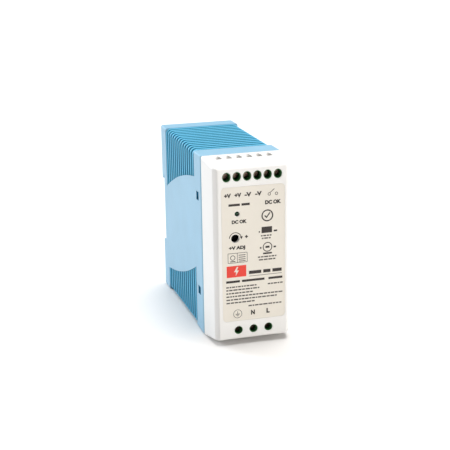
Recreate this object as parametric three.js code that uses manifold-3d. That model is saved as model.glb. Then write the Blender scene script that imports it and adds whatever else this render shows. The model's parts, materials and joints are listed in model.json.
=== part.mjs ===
// DIN rail power supply, 40 x 90 x 100 mm.
// Frame: millimetres, +Z up, origin at the middle of the underside, -Y is the front face with the
// terminal screws, +Y is the rear, which hooks onto the rail.
import * as THREE from "three";
import { mergeVertices } from "three/addons/utils/BufferGeometryUtils.js";
import Module from "manifold-3d";

const wasm = await Module();
wasm.setup();

// ---------------------------------------------------------------- driving dimensions
const WIDTH = 40;
const HEIGHT = 90;
const DEPTH = 100;
const HALF_WIDTH = WIDTH / 2;
const FRONT_Y = -DEPTH / 2;
const REAR_Y = DEPTH / 2;
const MID_Z = HEIGHT / 2;

const PARTING_Y = -32.1; // plane between the blue housing and the white cover
const PARTING_GAP = 0.3;
const CORNER_RADIUS = 1;
const HOUSING_WALL = 3.2; // outside face to cavity, ribs included
const CAVITY_REAR_Y = 41;

const RIB_FIELD_Y = [-19.6, 39.4]; // the ribbed length of the housing, sunk a little below its end bands
const RIB_INSET = 0.3;
const RIB_CORNER_RADIUS = 2.6;
const GROOVE_COUNT = 14;
const GROOVE_PITCH = 4.215;
const GROOVE_WIDTH = 2.4;
const GROOVE_DEPTH = 1.6; // below the rib tops
const GROOVE_CORNER_RADIUS = 1.2;
const GROOVE_FIRST_Y = -17.9;
const VENT_HALF_WIDTH = 13; // the grooves are open to the inside over this much of the top and underside

const FIELD_CENTRE = [10, MID_Z]; // the smooth side field is point-symmetric about here
const FIELD_ARC = [[29.7, 13.6], [0, 25.6], [-29.7, 32.3]]; // its upper edge, from that centre

const WINDOW_Y = [-27.4, -23.2];
const WINDOW_Z_OFFSET = 24; // snap windows above and below the middle
const WINDOW_HALF_HEIGHT = 2.1;

const COVER_WALL = 1.8;
const COVER_SIDE_TAPER = 1.6;
const COVER_END_TAPER = 3;
const COVER_CHAMFER_Y = -47.2;
const COVER_FACE_HALF_WIDTH = 17.1;
const COVER_CORNER = 0.8;
const LIP = { halfWidth: 16.5, bottom: 3.5, top: 86.5, thickness: 1, rearY: -30.6, rootY: -35, rootInset: 1.5 };
const HOOK = { outerX: 19.3, catchY: -26.9, crestY: -25.9, rampEndY: -23.7, tipY: -22, halfHeight: 1.6 };

const LABEL = { x: 0.35, bottom: 12.2, top: 78, width: 31, radius: 1.8, thickness: 0.2, clearance: 0.1 };
const LED = { x: -7.56, z: 65.06, radius: 1.2 };
const TRIMMER = { x: -8.6, z: 53.2, radius: 2 };

const OUTPUT_POLES = { name: "output", z: 82.85, xs: [-12.5, -7.5, -2.5, 2.5, 7.5, 12.5], pitch: 5, wireUp: true };
const INPUT_POLES = { name: "input", z: 7.4, xs: [-7.5, 0, 7.5], pitch: 7.5, wireUp: false };
const SCREW_HOLE_RADIUS = 2.05;
const OUTPUT_HOLE_STRETCH = 1.12; // the upper holes are a little taller than wide
const WIRE_ENTRY = { halfWidth: 1.5, frontY: -38.2, rearY: -35.2 }; // arched mouth in the cover's ends, flat in front
const WIRE_HOLE_RADIUS = 1.7; // in the terminal blocks
const WIRE_Y = -37;

const REAR_POCKET = { bottom: 66, wall: 2 }; // the inside reaches further back above the rail
const RAIL = {
  floorY: 45.3, bottom: 27.2, bottomFlare: 1.2, lipBottom: 61.4, lipFlare: 0.6, slotTop: 62.7, slotRearY: 46.8,
};
const RAIL_SEAT = { y: 45.4, z: [29.6, 60.7] }; // pad that the rail's face lies on

const LATCH = {
  halfWidth: 7.6, frontY: 46.7, rearY: 49.6, bottom: 4.6, top: 29.2, noseY: 47.6, noseBottom: 26.6, clearance: 0.35,
};
const PRY_SLOT = { halfWidth: 3, depth: 1.4, z: [6.6, 8.4] }; // for a screwdriver, low on the latch's back
const LATCH_FLANGE = { halfWidth: 9.6, rearY: 47.9, bottom: 6, top: 24 };
const LATCH_ARM = { halfWidth: 1.8, frontY: 43, bottom: 19, top: 21 };
const SPRING = { y: 44.4, bottom: 7, top: 18.7, coilRadius: 1.35, wireRadius: 0.28, turns: 6 };
const SPRING_POCKET = { halfWidth: 2.2, frontY: 42.3, bottom: 6.4, top: 21.6 };

const FRONT_BOARD = { halfWidth: 15.2, y: [-31.6, -30], z: [9.5, 81.5] };
const MAIN_BOARD = { x: [-15.6, -14], y: [-29.4, 38], z: [4.6, 85.4] };
const BOARD_RAIL = { thickness: 1, gap: 0.3, reach: 2.6, frontY: -20 };
const SHEET = { x: [-16.5, -16.2], y: [-20, 40], z: [7, 83] };
const LINK = { width: 2.5, gap: 0.4, y: [-29.7, -26.4], z: [40, 60] };
const LEAD = 0.7;
const LEAD_HOLE = 1.3;
const LEAD_LENGTH = 2;
const STANDOFF = 0.4; // gap between a component's body and its board

// ---------------------------------------------------------------- materials
function finish(color, roughness, metalness = 0) {
  return new THREE.MeshStandardMaterial({ color, roughness, metalness });
}
const blue = finish(0xa9d2ec, 0.55);
const deepBlue = finish(0x4d9fcd, 0.55);
const white = finish(0xf4f3f1, 0.5);
const cream = finish(0xe8e2d3, 0.7);
const green = finish(0x2f7a4a, 0.5);
const lampGreen = finish(0x1f5a35, 0.25);
const black = finish(0x18181a, 0.5);
const steel = finish(0xb9bcc0, 0.35, 1);
const brass = finish(0xc9a65a, 0.35, 1);
const board = finish(0x2e6b3c, 0.6);
const aluminium = finish(0xc3c6c9, 0.4, 1);
const ferrite = finish(0x3a3b3d, 0.7);
const copper = finish(0xb8713c, 0.4, 1);
const tape = finish(0xd9b13b, 0.5);
const paper = finish(0xe9e4d4, 0.8);

// ---------------------------------------------------------------- shape helpers
function block(x, y, z) {
  const size = new THREE.BoxGeometry(x[1] - x[0], y[1] - y[0], z[1] - z[0]);
  return size.translate((x[0] + x[1]) / 2, (y[0] + y[1]) / 2, (z[0] + z[1]) / 2);
}

function rodX(radius, x, y, z, sides = 16) {
  const rod = new THREE.CylinderGeometry(radius, radius, x[1] - x[0], sides).rotateZ(Math.PI / 2);
  return rod.translate((x[0] + x[1]) / 2, y, z);
}

function rodY(radius, x, y, z, sides = 16) {
  const rod = new THREE.CylinderGeometry(radius, radius, y[1] - y[0], sides);
  return rod.translate(x, (y[0] + y[1]) / 2, z);
}

function rodZ(radius, x, y, z, sides = 16) {
  const rod = new THREE.CylinderGeometry(radius, radius, z[1] - z[0], sides).rotateX(Math.PI / 2);
  return rod.translate(x, y, (z[0] + z[1]) / 2);
}

function extruded(shape, depth, curveSegments) {
  return new THREE.ExtrudeGeometry(shape, { depth, bevelEnabled: false, curveSegments });
}

// An outline drawn in (y, z) and drawn out along X.
function profileX(shape, x, curveSegments = 8) {
  const turn = new THREE.Matrix4().makeBasis(
    new THREE.Vector3(0, 1, 0), new THREE.Vector3(0, 0, 1), new THREE.Vector3(1, 0, 0));
  return extruded(shape, x[1] - x[0], curveSegments).applyMatrix4(turn).translate(x[0], 0, 0);
}

// An outline drawn in (x, z) and drawn out along Y.
function profileY(shape, y, curveSegments = 8) {
  const turn = new THREE.Matrix4().makeBasis(
    new THREE.Vector3(1, 0, 0), new THREE.Vector3(0, 0, 1), new THREE.Vector3(0, -1, 0));
  return extruded(shape, y[1] - y[0], curveSegments).applyMatrix4(turn).translate(0, y[1], 0);
}

// An outline drawn in (x, y) and drawn out along Z.
function profileZ(shape, z, curveSegments = 8) {
  return extruded(shape, z[1] - z[0], curveSegments).translate(0, 0, z[0]);
}

function polygon(points) {
  return new THREE.Shape(points.map(([a, b]) => new THREE.Vector2(a, b)));
}

function roundedRectangle(a, b, radius) {
  const shape = new THREE.Shape();
  shape.moveTo(a[0] + radius, b[0]);
  shape.lineTo(a[1] - radius, b[0]);
  shape.absarc(a[1] - radius, b[0] + radius, radius, -Math.PI / 2, 0);
  shape.lineTo(a[1], b[1] - radius);
  shape.absarc(a[1] - radius, b[1] - radius, radius, 0, Math.PI / 2);
  shape.lineTo(a[0] + radius, b[1]);
  shape.absarc(a[0] + radius, b[1] - radius, radius, Math.PI / 2, Math.PI);
  shape.lineTo(a[0], b[0] + radius);
  shape.absarc(a[0] + radius, b[0] + radius, radius, Math.PI, 1.5 * Math.PI);
  return shape;
}

// A closed skin through rings of points, each ring running from +X to +Z and the rings running to +Y.
function loft(rings) {
  const count = rings[0].length;
  const index = [];
  for (let level = 0; level + 1 < rings.length; level++) {
    for (let i = 0; i < count; i++) {
      const a = level * count + i;
      const b = level * count + ((i + 1) % count);
      index.push(a, b + count, b, a, a + count, b + count);
    }
  }
  const last = (rings.length - 1) * count;
  for (let i = 1; i + 1 < count; i++) {
    index.push(0, i, i + 1);
    index.push(last, last + i + 1, last + i);
  }
  const geometry = new THREE.BufferGeometry();
  geometry.setAttribute("position", new THREE.Float32BufferAttribute(rings.flat(2), 3));
  geometry.setIndex(index);
  return geometry;
}

function solid(geometry) {
  const bare = geometry.clone();
  bare.deleteAttribute("normal");
  bare.deleteAttribute("uv");
  const merged = mergeVertices(bare, 1e-4);
  return new wasm.Manifold(new wasm.Mesh({
    numProp: 3,
    vertProperties: new Float32Array(merged.attributes.position.array),
    triVerts: new Uint32Array(merged.index.array),
  }));
}

function joined(geometries) {
  return geometries.map(solid).reduce((sum, piece) => sum.add(piece));
}

function cut(base, geometries) {
  return geometries.reduce((rest, tool) => rest.subtract(solid(tool)), base);
}

function surface(shape) {
  const mesh = shape.getMesh();
  const geometry = new THREE.BufferGeometry();
  geometry.setAttribute("position", new THREE.BufferAttribute(new Float32Array(mesh.vertProperties), 3));
  geometry.setIndex(new THREE.BufferAttribute(new Uint32Array(mesh.triVerts), 1));
  geometry.computeVertexNormals();
  return geometry;
}

function piece(name, shape, material, position = [0, 0, 0]) {
  const geometry = shape.isBufferGeometry ? shape : surface(shape);
  const mesh = new THREE.Mesh(geometry, material);
  mesh.name = name;
  mesh.position.set(...position);
  return mesh;
}

// Centre and radius of the circle through three points.
function circleThrough([[ax, ay], [bx, by], [cx, cy]]) {
  const d = 2 * (ax * (by - cy) + bx * (cy - ay) + cx * (ay - by));
  const a = ax * ax + ay * ay;
  const b = bx * bx + by * by;
  const c = cx * cx + cy * cy;
  const x = (a * (by - cy) + b * (cy - ay) + c * (ay - by)) / d;
  const y = (a * (cx - bx) + b * (ax - cx) + c * (bx - ax)) / d;
  return { x, y, radius: Math.hypot(ax - x, ay - y) };
}

// ---------------------------------------------------------------- rear housing
// The smooth bow-shaped area of the sides, drawn in (y, z).
function smoothField() {
  const [cy, cz] = FIELD_CENTRE;
  const ends = [FIELD_ARC[0], FIELD_ARC[2]];
  const circle = circleThrough(FIELD_ARC);
  const [start, end] = ends.map(([y, z]) => Math.atan2(z - circle.y, y - circle.x));
  const shape = new THREE.Shape();
  shape.absarc(cy + circle.x, cz + circle.y, circle.radius, start, end);
  shape.absarc(cy - circle.x, cz - circle.y, circle.radius, start + Math.PI, end + Math.PI);
  shape.closePath();
  return shape;
}

// What lies outside a rounded section of the housing, over a stretch of its depth.
function outside(inset, radius, y, segments) {
  const core = roundedRectangle(
    [-HALF_WIDTH + inset, HALF_WIDTH - inset], [inset, HEIGHT - inset], radius);
  const all = solid(block([-WIDTH, WIDTH], y, [-HEIGHT, 2 * HEIGHT]));
  return all.subtract(solid(profileY(core, [y[0] - 1, y[1] + 1], segments)));
}

// The rib field and its grooves, which stop at the smooth field of each side.
function ribCuts() {
  const field = solid(profileX(smoothField(), [-WIDTH, WIDTH], 10));
  const tools = [outside(RIB_INSET, RIB_CORNER_RADIUS, RIB_FIELD_Y, 3).subtract(field)];
  for (let i = 0; i < GROOVE_COUNT; i++) {
    const y = GROOVE_FIRST_Y + i * GROOVE_PITCH;
    const span = [y - GROOVE_WIDTH / 2, y + GROOVE_WIDTH / 2];
    tools.push(outside(RIB_INSET + GROOVE_DEPTH, GROOVE_CORNER_RADIUS, span, 2).subtract(field));
  }
  return tools;
}

function ventSlots() {
  const slots = [];
  for (let i = 0; i < GROOVE_COUNT; i++) {
    const y = GROOVE_FIRST_Y + i * GROOVE_PITCH;
    const span = [y - GROOVE_WIDTH / 2, y + GROOVE_WIDTH / 2];
    for (const z of [[-1, HOUSING_WALL + 0.1], [HEIGHT - HOUSING_WALL - 0.1, HEIGHT + 1]]) {
      slots.push(block([-VENT_HALF_WIDTH, VENT_HALF_WIDTH], span, z));
    }
  }
  return slots;
}

// Space for the rail: open to the rear, with a slot above that takes the rail's upper edge.
function railRecess() {
  const outline = polygon([
    [RAIL.floorY, RAIL.bottom], [RAIL.slotRearY, RAIL.bottom], [REAR_Y + 1, RAIL.bottom - RAIL.bottomFlare],
    [REAR_Y + 1, RAIL.lipBottom - RAIL.lipFlare], [RAIL.slotRearY, RAIL.lipBottom],
    [RAIL.slotRearY, RAIL.slotTop], [RAIL.floorY, RAIL.slotTop],
    [RAIL.floorY, RAIL_SEAT.z[1]], [RAIL_SEAT.y, RAIL_SEAT.z[1]],
    [RAIL_SEAT.y, RAIL_SEAT.z[0]], [RAIL.floorY, RAIL_SEAT.z[0]],
  ]);
  return profileX(outline, [-WIDTH, WIDTH]);
}

function latchChannel() {
  const gap = LATCH.clearance;
  const front = LATCH.frontY - gap;
  return [
    block([-LATCH.halfWidth - gap, LATCH.halfWidth + gap], [front, REAR_Y + 1], [-1, RAIL.bottom + 0.5]),
    block([-LATCH_FLANGE.halfWidth - gap, LATCH_FLANGE.halfWidth + gap],
      [front, LATCH_FLANGE.rearY + gap], [-1, LATCH_FLANGE.top + gap]),
    block([-SPRING_POCKET.halfWidth, SPRING_POCKET.halfWidth],
      [SPRING_POCKET.frontY, front + 0.1], [SPRING_POCKET.bottom, SPRING_POCKET.top]),
  ];
}

function snapWindows() {
  return [-1, 1].map((side) => {
    const z = MID_Z + side * WINDOW_Z_OFFSET;
    return block([-WIDTH, WIDTH], WINDOW_Y, [z - WINDOW_HALF_HEIGHT, z + WINDOW_HALF_HEIGHT]);
  });
}

// Ribs inside the housing that hold the long edges of the main board.
function boardRails() {
  const { thickness, gap, reach, frontY } = BOARD_RAIL;
  const left = MAIN_BOARD.x[0] - gap;
  const right = MAIN_BOARD.x[1] + gap;
  const y = [frontY, CAVITY_REAR_Y + 0.5];
  const rails = [];
  for (const x of [[left - thickness, left], [right, right + thickness]]) {
    rails.push(block(x, y, [HOUSING_WALL - 0.2, HOUSING_WALL + reach]));
    rails.push(block(x, y, [HEIGHT - HOUSING_WALL - reach, HEIGHT - HOUSING_WALL + 0.2]));
  }
  return rails;
}

function rearHousing() {
  const outline = roundedRectangle([-HALF_WIDTH, HALF_WIDTH], [0, HEIGHT], CORNER_RADIUS);
  const inner = HALF_WIDTH - HOUSING_WALL;
  let shell = solid(profileY(outline, [PARTING_Y + PARTING_GAP / 2, REAR_Y], 2));
  shell = cut(shell, [
    block([-inner, inner], [PARTING_Y - 1, CAVITY_REAR_Y], [HOUSING_WALL, HEIGHT - HOUSING_WALL]),
    block([-inner, inner], [CAVITY_REAR_Y - 1, REAR_Y - REAR_POCKET.wall],
      [REAR_POCKET.bottom, HEIGHT - HOUSING_WALL]),
  ]);
  shell = shell.add(joined(boardRails()));
  for (const tool of ribCuts()) {
    shell = shell.subtract(tool);
  }
  return cut(shell, [...ventSlots(), railRecess(), ...latchChannel(), ...snapWindows()]);
}

// ---------------------------------------------------------------- front cover
function coverTaper(y) {
  return (PARTING_Y - y) / (PARTING_Y - FRONT_Y);
}

// A rectangle with small cut corners, at depth y.
function coverRing(y, halfWidth, bottom, top) {
  const c = COVER_CORNER;
  const w = halfWidth;
  return [
    [w - c, y, bottom], [w, y, bottom + c], [w, y, top - c], [w - c, y, top],
    [-w + c, y, top], [-w, y, top - c], [-w, y, bottom + c], [-w + c, y, bottom],
  ];
}

function taperedRing(y, inset) {
  const t = coverTaper(y);
  const drop = COVER_END_TAPER * t + inset;
  return coverRing(y, HALF_WIDTH - COVER_SIDE_TAPER * t - inset, drop, HEIGHT - drop);
}

function coverOuter() {
  const rear = PARTING_Y - PARTING_GAP / 2;
  const face = coverRing(FRONT_Y, COVER_FACE_HALF_WIDTH, COVER_END_TAPER, HEIGHT - COVER_END_TAPER);
  return loft([face, taperedRing(COVER_CHAMFER_Y, 0), taperedRing(rear, 0)]);
}

function coverInner() {
  const floor = FRONT_Y + COVER_WALL;
  return loft([taperedRing(floor, COVER_WALL), taperedRing(PARTING_Y + 1, COVER_WALL)]);
}

function frame(outer, inner, y) {
  const hole = block([-inner.halfWidth, inner.halfWidth], [y[0] - 1, y[1] + 1], [inner.bottom, inner.top]);
  const body = block([-outer.halfWidth, outer.halfWidth], y, [outer.bottom, outer.top]);
  return cut(solid(body), [hole]);
}

// The tongue that reaches into the housing, and the step that ties it to the cover's wall.
function coverLip() {
  const inner = {
    halfWidth: LIP.halfWidth - LIP.thickness,
    bottom: LIP.bottom + LIP.thickness,
    top: LIP.top - LIP.thickness,
  };
  const root = { halfWidth: HALF_WIDTH - LIP.rootInset, bottom: LIP.rootInset, top: HEIGHT - LIP.rootInset };
  const tongue = frame(LIP, inner, [LIP.rootY, LIP.rearY]);
  return tongue.add(frame(root, inner, [LIP.rootY, PARTING_Y - PARTING_GAP / 2]));
}

// A barbed arm that springs into one of the housing's windows.
function snapHook(z) {
  const [armX, outerX] = [LIP.halfWidth - LIP.thickness, LIP.halfWidth];
  const rootY = LIP.rearY - 1;
  const outline = polygon([
    [armX, rootY], [outerX, rootY], [outerX, HOOK.catchY], [HOOK.outerX, HOOK.catchY], [HOOK.outerX, HOOK.crestY],
    [outerX, HOOK.rampEndY], [outerX, HOOK.tipY], [armX, HOOK.tipY],
  ]);
  return profileZ(outline, [z - HOOK.halfHeight, z + HOOK.halfHeight]);
}

function snapHooks() {
  const right = joined([MID_Z - WINDOW_Z_OFFSET, MID_Z + WINDOW_Z_OFFSET].map(snapHook));
  return right.add(right.mirror([1, 0, 0]));
}

// The arched mouth where a wire goes in, cut through one end of the cover.
function wireEntry(x, z) {
  const { halfWidth, frontY, rearY } = WIRE_ENTRY;
  const arch = new THREE.Shape();
  arch.moveTo(halfWidth, frontY);
  arch.absellipse(0, frontY, halfWidth, rearY - frontY, 0, Math.PI);
  arch.closePath();
  return profileZ(arch, z, 14).translate(x, 0, 0);
}

function ovalHole(x, z, radius, stretch) {
  return rodY(radius, 0, [FRONT_Y - 1, FRONT_Y + COVER_WALL + 1], 0, 24).scale(1, 1, stretch).translate(x, 0, z);
}

function coverHoles() {
  const holes = [
    ovalHole(LED.x, LED.z, LED.radius, 1),
    ovalHole(TRIMMER.x, TRIMMER.z, TRIMMER.radius, 1),
  ];
  for (const x of OUTPUT_POLES.xs) {
    holes.push(ovalHole(x, OUTPUT_POLES.z, SCREW_HOLE_RADIUS, OUTPUT_HOLE_STRETCH));
    holes.push(wireEntry(x, [HEIGHT - 6, HEIGHT + 1]));
  }
  for (const x of INPUT_POLES.xs) {
    holes.push(ovalHole(x, INPUT_POLES.z, SCREW_HOLE_RADIUS, 1));
    holes.push(wireEntry(x, [-1, 6]));
  }
  return holes;
}

function labelShape(grow) {
  const half = LABEL.width / 2 + grow;
  return roundedRectangle(
    [LABEL.x - half, LABEL.x + half], [LABEL.bottom - grow, LABEL.top + grow], LABEL.radius + grow);
}

function labelRecess() {
  return profileY(labelShape(LABEL.clearance), [FRONT_Y - 1, FRONT_Y + LABEL.thickness + 0.05], 4);
}

function frontCover() {
  const shell = cut(solid(coverOuter()), [coverInner()]).add(coverLip()).add(snapHooks());
  return cut(shell, [...coverHoles(), labelRecess()]);
}

function frontLabel() {
  const sheet = solid(profileY(labelShape(0), [FRONT_Y, FRONT_Y + LABEL.thickness], 4));
  return cut(sheet, [
    ovalHole(LED.x, LED.z, LED.radius + 0.1, 1),
    ovalHole(TRIMMER.x, TRIMMER.z, TRIMMER.radius + 0.1, 1),
  ]);
}

// ---------------------------------------------------------------- rail latch
function dinLatch() {
  const nose = polygon([
    [LATCH.frontY, LATCH.bottom], [LATCH.rearY, LATCH.bottom], [LATCH.rearY, LATCH.noseBottom],
    [LATCH.noseY, LATCH.top], [LATCH.frontY, LATCH.top],
  ]);
  const parts = [
    profileX(nose, [-LATCH.halfWidth, LATCH.halfWidth]),
    block([-LATCH_FLANGE.halfWidth, LATCH_FLANGE.halfWidth],
      [LATCH.frontY, LATCH_FLANGE.rearY], [LATCH_FLANGE.bottom, LATCH_FLANGE.top]),
    block([-LATCH_ARM.halfWidth, LATCH_ARM.halfWidth],
      [LATCH_ARM.frontY, LATCH.frontY + 0.5], [LATCH_ARM.bottom, LATCH_ARM.top]),
  ];
  const { halfWidth, depth, z } = PRY_SLOT;
  const pry = block([-halfWidth, halfWidth], [LATCH.rearY - depth, REAR_Y + 1], z);
  return cut(joined(parts), [pry]);
}

class Helix extends THREE.Curve {
  getPoint(t) {
    const angle = 2 * Math.PI * SPRING.turns * t;
    const z = THREE.MathUtils.lerp(SPRING.bottom + SPRING.wireRadius, SPRING.top - SPRING.wireRadius, t);
    return new THREE.Vector3(SPRING.coilRadius * Math.cos(angle), SPRING.y + SPRING.coilRadius * Math.sin(angle), z);
  }
}

function latchSpring() {
  const section = new THREE.Shape();
  section.absarc(0, 0, SPRING.wireRadius, 0, 2 * Math.PI);
  const steps = SPRING.turns * 10;
  const geometry = new THREE.ExtrudeGeometry(section, { steps, extrudePath: new Helix(), curveSegments: 3 });
  return solid(geometry);
}

// ---------------------------------------------------------------- terminals
// One pole is drawn about its screw axis, with the wire coming in from +Z.
const POLE = {
  blockY: [-47.9, -33.5],
  blockZ: [-4.6, 2.4],
  headY: [-46.5, -45],
  headRadius: 1.75,
  shoulderY: -44.9,
  boreRadius: 1.95,
  shankRadius: 1.2,
  shankHole: 1.45,
  tipY: -39.9,
  slot: { half: 0.35, crossHalf: 1.1, depth: 0.8 },
  chamberY: [-43.9, -34.2],
  chamberZ: [-3.3, 1.9],
  chamberHalf: 2.05,
  cageHalf: 1.85,
  cageY: [-41, -34.5],
  cageZ: [-2.9, 1.6],
  cageWall: 0.55,
  cageFront: 0.8, // thickness of the plate the screw turns in
  cageRear: 0.7,
  barY: [-39.6, -38.8],
  barHalf: 1.1,
  barZ: [-4.4, 1.3],
  footZ: [-4.4, -3.6],
  footEndY: -29,
};

function poleCuts(x) {
  const slot = POLE.barHalf + 0.3;
  return [
    rodY(POLE.boreRadius, x, [POLE.blockY[0] - 1, POLE.shoulderY], 0, 16),
    rodY(POLE.shankHole, x, [POLE.shoulderY - 1, POLE.chamberY[0] + 1], 0, 12),
    block([x - POLE.chamberHalf, x + POLE.chamberHalf], POLE.chamberY, POLE.chamberZ),
    rodZ(WIRE_HOLE_RADIUS, x, WIRE_Y, [0, POLE.blockZ[1] + 1], 12),
    block([x - slot, x + slot], [POLE.barY[0] - 0.3, POLE.blockY[1] + 1],
      [POLE.blockZ[0] - 1, POLE.chamberZ[0] + 0.1]),
  ];
}

function terminalBlock(poles) {
  const half = poles.xs.at(-1) + poles.pitch / 2 + 0.2;
  const body = solid(block([-half, half], POLE.blockY, POLE.blockZ));
  return cut(body, poles.xs.flatMap(poleCuts));
}

function terminalScrew() {
  const head = rodY(POLE.headRadius, 0, POLE.headY, 0, 20);
  const shank = rodY(POLE.shankRadius, 0, [POLE.headY[1] - 0.2, POLE.tipY], 0, 12);
  const { half, crossHalf, depth } = POLE.slot;
  const y = [POLE.headY[0] - 1, POLE.headY[0] + depth];
  const slot = block([-half, half], y, [-2 * POLE.headRadius, 2 * POLE.headRadius]);
  const cross = block([-crossHalf, crossHalf], y, [-half, half]);
  return cut(joined([head, shank]), [slot, cross]);
}

function clampCage() {
  const w = POLE.cageHalf;
  const wall = POLE.cageWall;
  const body = solid(block([-w, w], POLE.cageY, POLE.cageZ));
  return cut(body, [
    block([-w + wall, w - wall], [POLE.cageY[0] + POLE.cageFront, POLE.cageY[1] - POLE.cageRear],
      [POLE.cageZ[0] - 1, POLE.cageZ[1] + 1]),
    rodY(POLE.shankRadius + 0.12, 0, [POLE.cageY[0] - 1, POLE.cageY[0] + 1], 0),
  ]);
}

function contactBar() {
  const outline = polygon([
    [POLE.barY[0], POLE.barZ[0]], [POLE.footEndY, POLE.footZ[0]], [POLE.footEndY, POLE.footZ[1]],
    [POLE.barY[1], POLE.footZ[1]], [POLE.barY[1], POLE.barZ[1]], [POLE.barY[0], POLE.barZ[1]],
  ]);
  return solid(profileX(outline, [-POLE.barHalf, POLE.barHalf]));
}

function terminalRow(poles) {
  const row = new THREE.Group();
  row.position.z = poles.z;
  row.rotation.y = poles.wireUp ? 0 : Math.PI;
  row.add(piece(`${poles.name}_terminal_block`, terminalBlock(poles), green));
  const sign = poles.wireUp ? 1 : -1; // numbered from the left as seen from the front
  poles.xs.forEach((x, i) => {
    const place = [sign * x, 0, 0];
    row.add(piece(`${poles.name}_screw_${i + 1}`, terminalScrew(), steel, place));
    row.add(piece(`${poles.name}_clamp_${i + 1}`, clampCage(), steel, place));
    row.add(piece(`${poles.name}_contact_${i + 1}`, contactBar(), brass, place));
  });
  return row;
}

// ---------------------------------------------------------------- lamp and trimmer
// Radius and y, from the tip of the lens over its flange to the foot of the light pipe.
const LED_PROFILE = [
  [0, -49.5], [0.5, -49.4], [0.85, -49.1], [1, -48.6], [1, -47.6], [1.5, -47.5], [1.5, -46.4], [1, -46.3],
  [1, -32], [0, -32],
];

function turned(profile, sides) {
  return new THREE.LatheGeometry(profile.map(([radius, along]) => new THREE.Vector2(radius, along)), sides);
}

function statusLed() {
  return turned(LED_PROFILE, 16);
}

const TRIMMER_BODY = { half: 3.3, corner: 0.5, y: [-44, -31.9], pocketRadius: 2.05, pocketY: -42.4 };
const ROTOR = { radius: 1.9, y: [-45.2, -42.6], slotHalf: 0.4, slotReach: 1.5, slotDepth: 0.9 };

function trimmerBody() {
  const h = TRIMMER_BODY.half;
  const body = solid(profileY(roundedRectangle([-h, h], [-h, h], TRIMMER_BODY.corner), TRIMMER_BODY.y, 2));
  return cut(body, [rodY(TRIMMER_BODY.pocketRadius, 0, [TRIMMER_BODY.y[0] - 1, TRIMMER_BODY.pocketY], 0, 24)]);
}

function trimmerRotor() {
  const rotor = solid(rodY(ROTOR.radius, 0, ROTOR.y, 0, 24));
  const y = [ROTOR.y[0] - 1, ROTOR.y[0] + ROTOR.slotDepth];
  const across = [-ROTOR.slotHalf, ROTOR.slotHalf];
  const along = [-ROTOR.slotReach, ROTOR.slotReach];
  return cut(rotor, [block(across, y, along), block(along, y, across)]);
}

// ---------------------------------------------------------------- boards
function frontBoard() {
  const sheet = solid(block([-FRONT_BOARD.halfWidth, FRONT_BOARD.halfWidth], FRONT_BOARD.y, FRONT_BOARD.z));
  const y = [FRONT_BOARD.y[0] - 1, FRONT_BOARD.y[1] + 1];
  const slots = [];
  for (const poles of [OUTPUT_POLES, INPUT_POLES]) {
    const side = poles.wireUp ? 1 : -1;
    const middle = poles.z + side * (POLE.footZ[0] + POLE.footZ[1]) / 2;
    for (const x of poles.xs) {
      slots.push(block([x - POLE.barHalf - 0.3, x + POLE.barHalf + 0.3], y, [middle - 0.7, middle + 0.7]));
    }
  }
  return cut(sheet, slots);
}

function mainBoard(components) {
  const sheet = solid(block(MAIN_BOARD.x, MAIN_BOARD.y, MAIN_BOARD.z));
  const x = [MAIN_BOARD.x[0] - 1, MAIN_BOARD.x[1] + 1];
  const cuts = [-1, 1].map((side) => {
    const z = MID_Z + side * WINDOW_Z_OFFSET;
    return block(x, [MAIN_BOARD.y[0] - 1, HOOK.tipY + 0.4], [z - HOOK.halfHeight - 1, z + HOOK.halfHeight + 1]);
  });
  const h = LEAD_HOLE / 2;
  for (const { y, z, leads } of components) {
    for (const [dy, dz] of leads) {
      cuts.push(block(x, [y + dy - h, y + dy + h], [z + dz - h, z + dz + h]));
    }
  }
  return cut(sheet, cuts);
}

function leadsOf(leads) {
  const h = LEAD / 2;
  return leads.map(([dy, dz]) =>
    block([-LEAD_LENGTH, STANDOFF + 0.3], [dy - h, dy + h], [dz - h, dz + h]));
}

// ---------------------------------------------------------------- components on the main board
// Each is drawn from its own point on the board's face, with +X away from the board.
const PAIR_Z = [[0, -2.5], [0, 2.5]];

function box(height, y, z) {
  return solid(block([STANDOFF, STANDOFF + height], [-y / 2, y / 2], [-z / 2, z / 2]));
}

const FUSE = { radius: 2.2, capRadius: 2.6, capLength: 5, centre: 3.4, half: 10, footZ: 7.5 };

function fuse() {
  const { centre, half } = FUSE;
  const parts = [rodZ(FUSE.radius, centre, 0, [2 - half, half - 2])];
  for (const [side, cap] of [[-1, [-half, FUSE.capLength - half]], [1, [half - FUSE.capLength, half]]]) {
    parts.push(rodZ(FUSE.capRadius, centre, 0, cap));
    parts.push(block([STANDOFF, centre], [-0.4, 0.4], [side * FUSE.footZ - 1, side * FUSE.footZ + 1]));
  }
  return joined(parts);
}

// A coated disc that stands on its two legs.
function disc(radius, thickness) {
  const coated = rodY(radius, STANDOFF + radius + 1.5, [-thickness / 2, thickness / 2], 0, 20);
  const legs = PAIR_Z.map(([, z]) =>
    block([STANDOFF, STANDOFF + 4], [-LEAD / 2, LEAD / 2], [z - LEAD / 2, z + LEAD / 2]));
  return joined([coated, ...legs]);
}

function ring(outer, inner, x, sides = 24) {
  return cut(solid(rodX(outer, x, 0, 0, sides)), [rodX(inner, [x[0] - 1, x[1] + 1], 0, 0, sides)]);
}

const CHOKE = { y: 17, z: 17, outer: 6.6, inner: 4.4, x: [2.4, 8.4], copper: 1.6, openingHalf: 2 };

function chokeCore() {
  return ring(CHOKE.outer, CHOKE.inner, CHOKE.x);
}

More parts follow.
